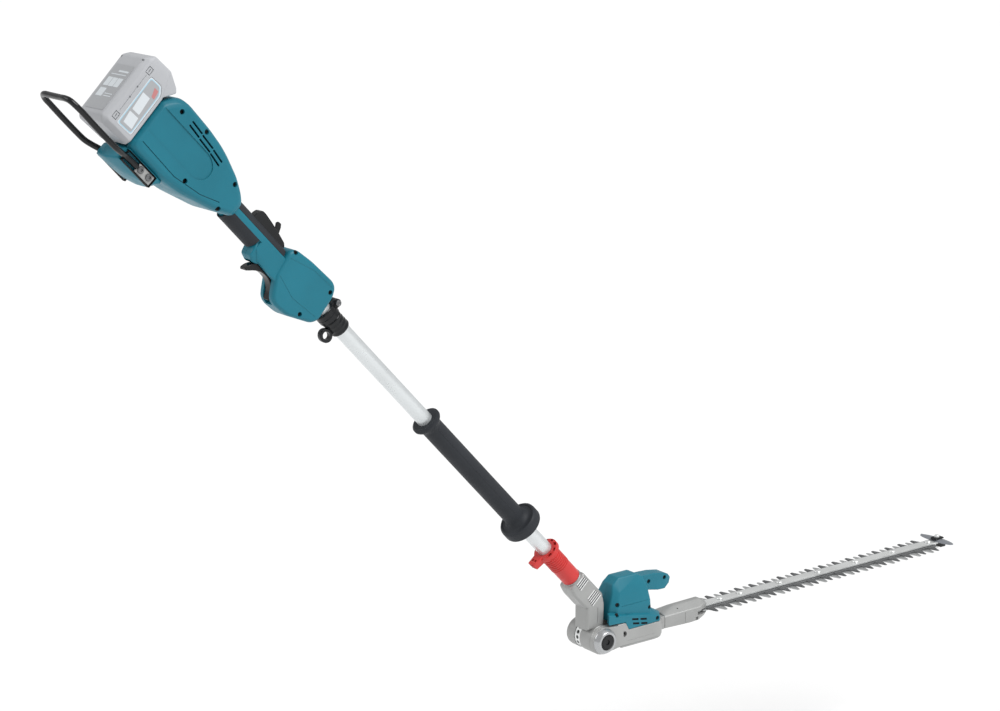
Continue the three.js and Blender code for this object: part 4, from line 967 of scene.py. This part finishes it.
TOWER_SCREWS = [((32, 56), 27.2), ((26, 41), 33.6), ((103, 38), 27.4), ((116, 17), 33.4),
                ((113, 78), 12.4), ((149, 78), 11.8)]
motor = join(tower(0, 2.2), *ledges(1.6), knob(0, 3.2))
wedge_seat = [(40, 5), (40, 23), (45.4, 23), (52.2, 10.4), (52.2, 5)]
cut(motor, tower(3), box((-20, 17.7), (-21, 21), (0, 60)), box((0, 140), (-60, 60), (0, 10.5)),
    box((46, 104), (-22, 22), (5, 28)),
    *(prism(wedge_seat, *span(s, 30.6, 40), "y") for s in (-1, 1)))
for s, word in SIDE:
    half = meet(copy(motor), box((-10, 180), span(s, SPLIT, 70), (0, 120)))
    sunk = [rod("y", 3.9, *span(s, y - 3.2, 50), (x, 0, z), 24) for (x, z), y in TOWER_SCREWS]
    sunk += [prism(ledge_vent(x, z, 0), *span(s, 31, 50), "y") for x, z in LEDGE_VENTS]
    sunk += [box((40, 100), span(s, 26.3, 40), (51.6, 52.2))]
    cut(half, group(*sunk))
    piece(f"motor_cover_{word}", half, "head", "teal_plastic", HEAD, f"motor_housing_{word}")
    # Near-black slots behind the ledge vents: painted shade
    shade_slots = [prism(ledge_vent(x, z, 0.1), *span(s, 31.1, 33.2), "y") for x, z in LEDGE_VENTS]
    piece(f"ledge_vent_shade_{word}", group(*shade_slots), "head", "teal_plastic", HEAD, material=PAINTED_SHADE)
    for i, ((x, z), y) in enumerate(TOWER_SCREWS):
        screw(f"motor_screw_{word}_{i + 1}", "head", HEAD, (x, s * (y - 2.9), z), (0, s, 0), 3.3)
drop(motor)


# ------------------------------------------------------------------ bar, blades, bolts and tip
BOLTS = [337.3 + 96.74 * k for k in (-0.5, 0, 1, 2, 3, 4, 5)]
bar = prism([(146.6, -10), (849, -10), (851.2, -9), (852, -6.5), (852, 6.5), (851.2, 9), (849, 10),
             (146.6, 10)], 2.65, 6.17, "z", 0.5, 2)
cut(bar, group(*(rod("z", 4.1, 0, 10, (x, 0, 0), 32) for x in BOLTS),
               rod("z", 2.9, 0, 10, (TIP_X, 0, 0), 24)))
piece("bar", bar, "head", "bright_steel", HEAD, "guide_bar")


def stadium(radius, x0, x1, steps=16):
    """The outline of a round-ended slot from x0 to x1."""
    turns = [radians(-90 + 180 * k / steps) for k in range(steps + 1)]
    return ([(x1 + radius * cos(a), radius * sin(a)) for a in turns]
            + [(x0 - radius * cos(a), -radius * sin(a)) for a in turns])


def cutter_blade(upper):
    """Both edges of teeth with their flanks ground away towards the shearing face."""
    slack = (0, STROKE) if upper else (-STROKE, 0)         # how far its slots reach past a bolt
    low, thick = 0.15 if upper else -2.35, 2.2
    first, teeth = (253, 17) if upper else (253 + PITCH - STROKE, 16)
    tail_r = 16.75
    x0, x1 = 92 + slack[0], 92 + slack[1]

    def outline(half):
        """The blade's outline with half a tooth's outline at every tooth."""
        out = [(x1 + tail_r + 1, 12), (236, 12), (238, 15.5)]
        for i in range(teeth):
            x = first + PITCH * i
            out += [(x + a, b) for a, b in half] + [(x - a, b) for a, b in reversed(half)]
        out.append((829, 15.5))
        return out + [(x, -y) for x, y in reversed(out)]

    wide = outline([(-9, 15.5), (-7.4, 20), (-5.2, 27.5), (-3.2, 33.5), (-2.0, 36), (-0.9, 36.4)])
    ground = outline([(-7.6, 15.5), (-5.6, 20), (-3.2, 27), (-1.5, 32), (-0.8, 33.6), (-0.3, 34)])
    # The shearing face is the lower one on the upper blade, and the upper one on the lower blade.
    levels = [(wide, low), (wide, low + 0.7), (ground, low + thick)] if upper else [
        (ground, low), (wide, low + thick - 0.7), (wide, low + thick)]
    flat = loft([[(x, y, z) for x, y in ring] for ring, z in levels])
    body = join(flat, prism(stadium(tail_r + 3.6, x0, x1), low, low + thick, "z"))
    slots = [prism(stadium(4.1, x + slack[0], x + slack[1], 8), low - 1, low + thick + 1, "z")
             for x in BOLTS]
    return cut(body, group(prism(stadium(tail_r, x0, x1), low - 1, low + thick + 1, "z"), *slots))


piece("blade_top", cutter_blade(True), "upper_blade", "dark_steel", HEAD, "upper_blade", angle=20)
# The lower blade takes a darker steel: painted shade on its teeth
piece("blade_under", cutter_blade(False), "lower_blade", "bright_steel", HEAD, "lower_blade",
      material=TOOTH_SHADE_STEEL, angle=20)
for i, x in enumerate(BOLTS):
    body = lathe([(0, -6.2), (5.9, -6.2), (6.4, -5.7), (6.4, -2.65), (3.8, -2.65), (3.8, 6.47),
                  (6.3, 6.47), (6.4, 6.6), (6.3, 7.2), (5.7, 8.3), (4.4, 9.2), (2.4, 9.7), (0, 9.8)],
                 "z", 40, (x, 0, 0))
    piece(f"bolt_{i + 1}", body, "head", "bright_steel", HEAD, f"blade_bolt_{i + 1}")


def wings():
    """Two thin leaves that are thickest along their middle."""
    reach, rows = 41, []
    for k in range(41):
        y = -reach + 2 * reach * k / 40
        s = abs(y) / reach
        half = max(0.35, 13 * sqrt(max(0, 1 - s ** 2.2)))
        top = 8.97 - 1.15 * s * s
        section = [(-1, 6.6), (-0.97, 6.52), (0.97, 6.52), (1, 6.6), (0.86, 7.2 - 0.3 * s),
                   (0.4, top - 0.15), (0, top), (-0.4, top - 0.15), (-0.86, 7.2 - 0.3 * s)]
        rows.append([(TIP_X + a * half, y, z) for a, z in section])
    return cut(loft(rows), rod("z", 2.9, 0, 20, (TIP_X, 0, 0), 24))


piece("tip_wings", wings(), "head", "cast_alloy", HEAD, "tip_guard", material=WING)
saddle = hull(both([(836, 8, 9.1), (858.5, 8, 9.1), (839, 7, 12.4), (856, 7, 12.4), (861, 3, 9.1),
                    (833, 3, 9.1)]), 1.0)
cut(saddle, rod("z", 5.4, 0, 20, (TIP_X, 0, 0), 32))
piece("tip_saddle", saddle, "head", "black_plastic", HEAD)
clip = box((843.5, 857), (-13.5, 13.5), (-5, 6.17), 0.9)
cut(clip, box((840, 852.3), (-10.3, 10.3), (2.35, 20)), rod("z", 2.9, -10, 20, (TIP_X, 0, 0), 24))
piece("tip_block", clip, "head", "black_plastic", HEAD, "tip_clip")
body = lathe([(0, -8.5), (4.2, -8.5), (4.6, -8.1), (4.6, -5.3), (2.6, -5.3), (2.6, 9.27), (4.8, 9.27),
              (5, 9.5), (5, 13.6), (4.6, 15), (3.2, 16.2), (0, 16.6)], "z", 36, (TIP_X, 0, 0))
piece("tip_dome_bolt", body, "head", "bright_steel", HEAD, "tip_bolt")


# ------------------------------------------------------------------ floor, light and camera
edge = ellipse(FLOOR_RADIUS, FLOOR_RADIUS, 96)
disc = bpy.data.meshes.new("floor")
disc.from_pydata([(x, y, cad_box[0][2] - FLOOR_DROP) for x, y in edge], [], [tuple(range(len(edge)))])
disc.materials.append(finish_of("floor_paper", (0.86, 0.86, 0.86), 0.9, grain=30, bump=0.02,
                                mottle=0.004, spread=0.02))
floor = placed(disc, "floor")

world = bpy.data.worlds.new("studio")
world.use_nodes = True
sky = world.node_tree.nodes["Background"].inputs
sky["Color"].default_value, sky["Strength"].default_value = (1, 1, 1, 1), 0.5
bpy.context.scene.world = world
bpy.context.scene.view_settings.view_transform = "Standard"


def sun(name, source, strength, angle):
    """A broad soft sun that shines from the direction source."""
    light = bpy.data.lights.new(name, "SUN")
    light.energy, light.angle = strength, radians(angle)
    placed(light, name).rotation_euler = Vector(source).to_track_quat("Z", "Y").to_euler()


sun("key", (0.35, -0.75, 0.95), 2.5, 42)
sun("rim", (-0.9, 0.5, 0.7), 0.7, 40)

camera = placed(bpy.data.cameras.new("camera"), "camera")
camera.data.lens, camera.data.sensor_width, camera.data.sensor_fit = 86.4, 36, "HORIZONTAL"
camera.data.clip_end = 200
camera.location = (-1.92018, -2.98786, 0.82879)
camera.rotation_euler = (radians(76.35), 0, radians(-37.01))
bpy.context.scene.camera = camera
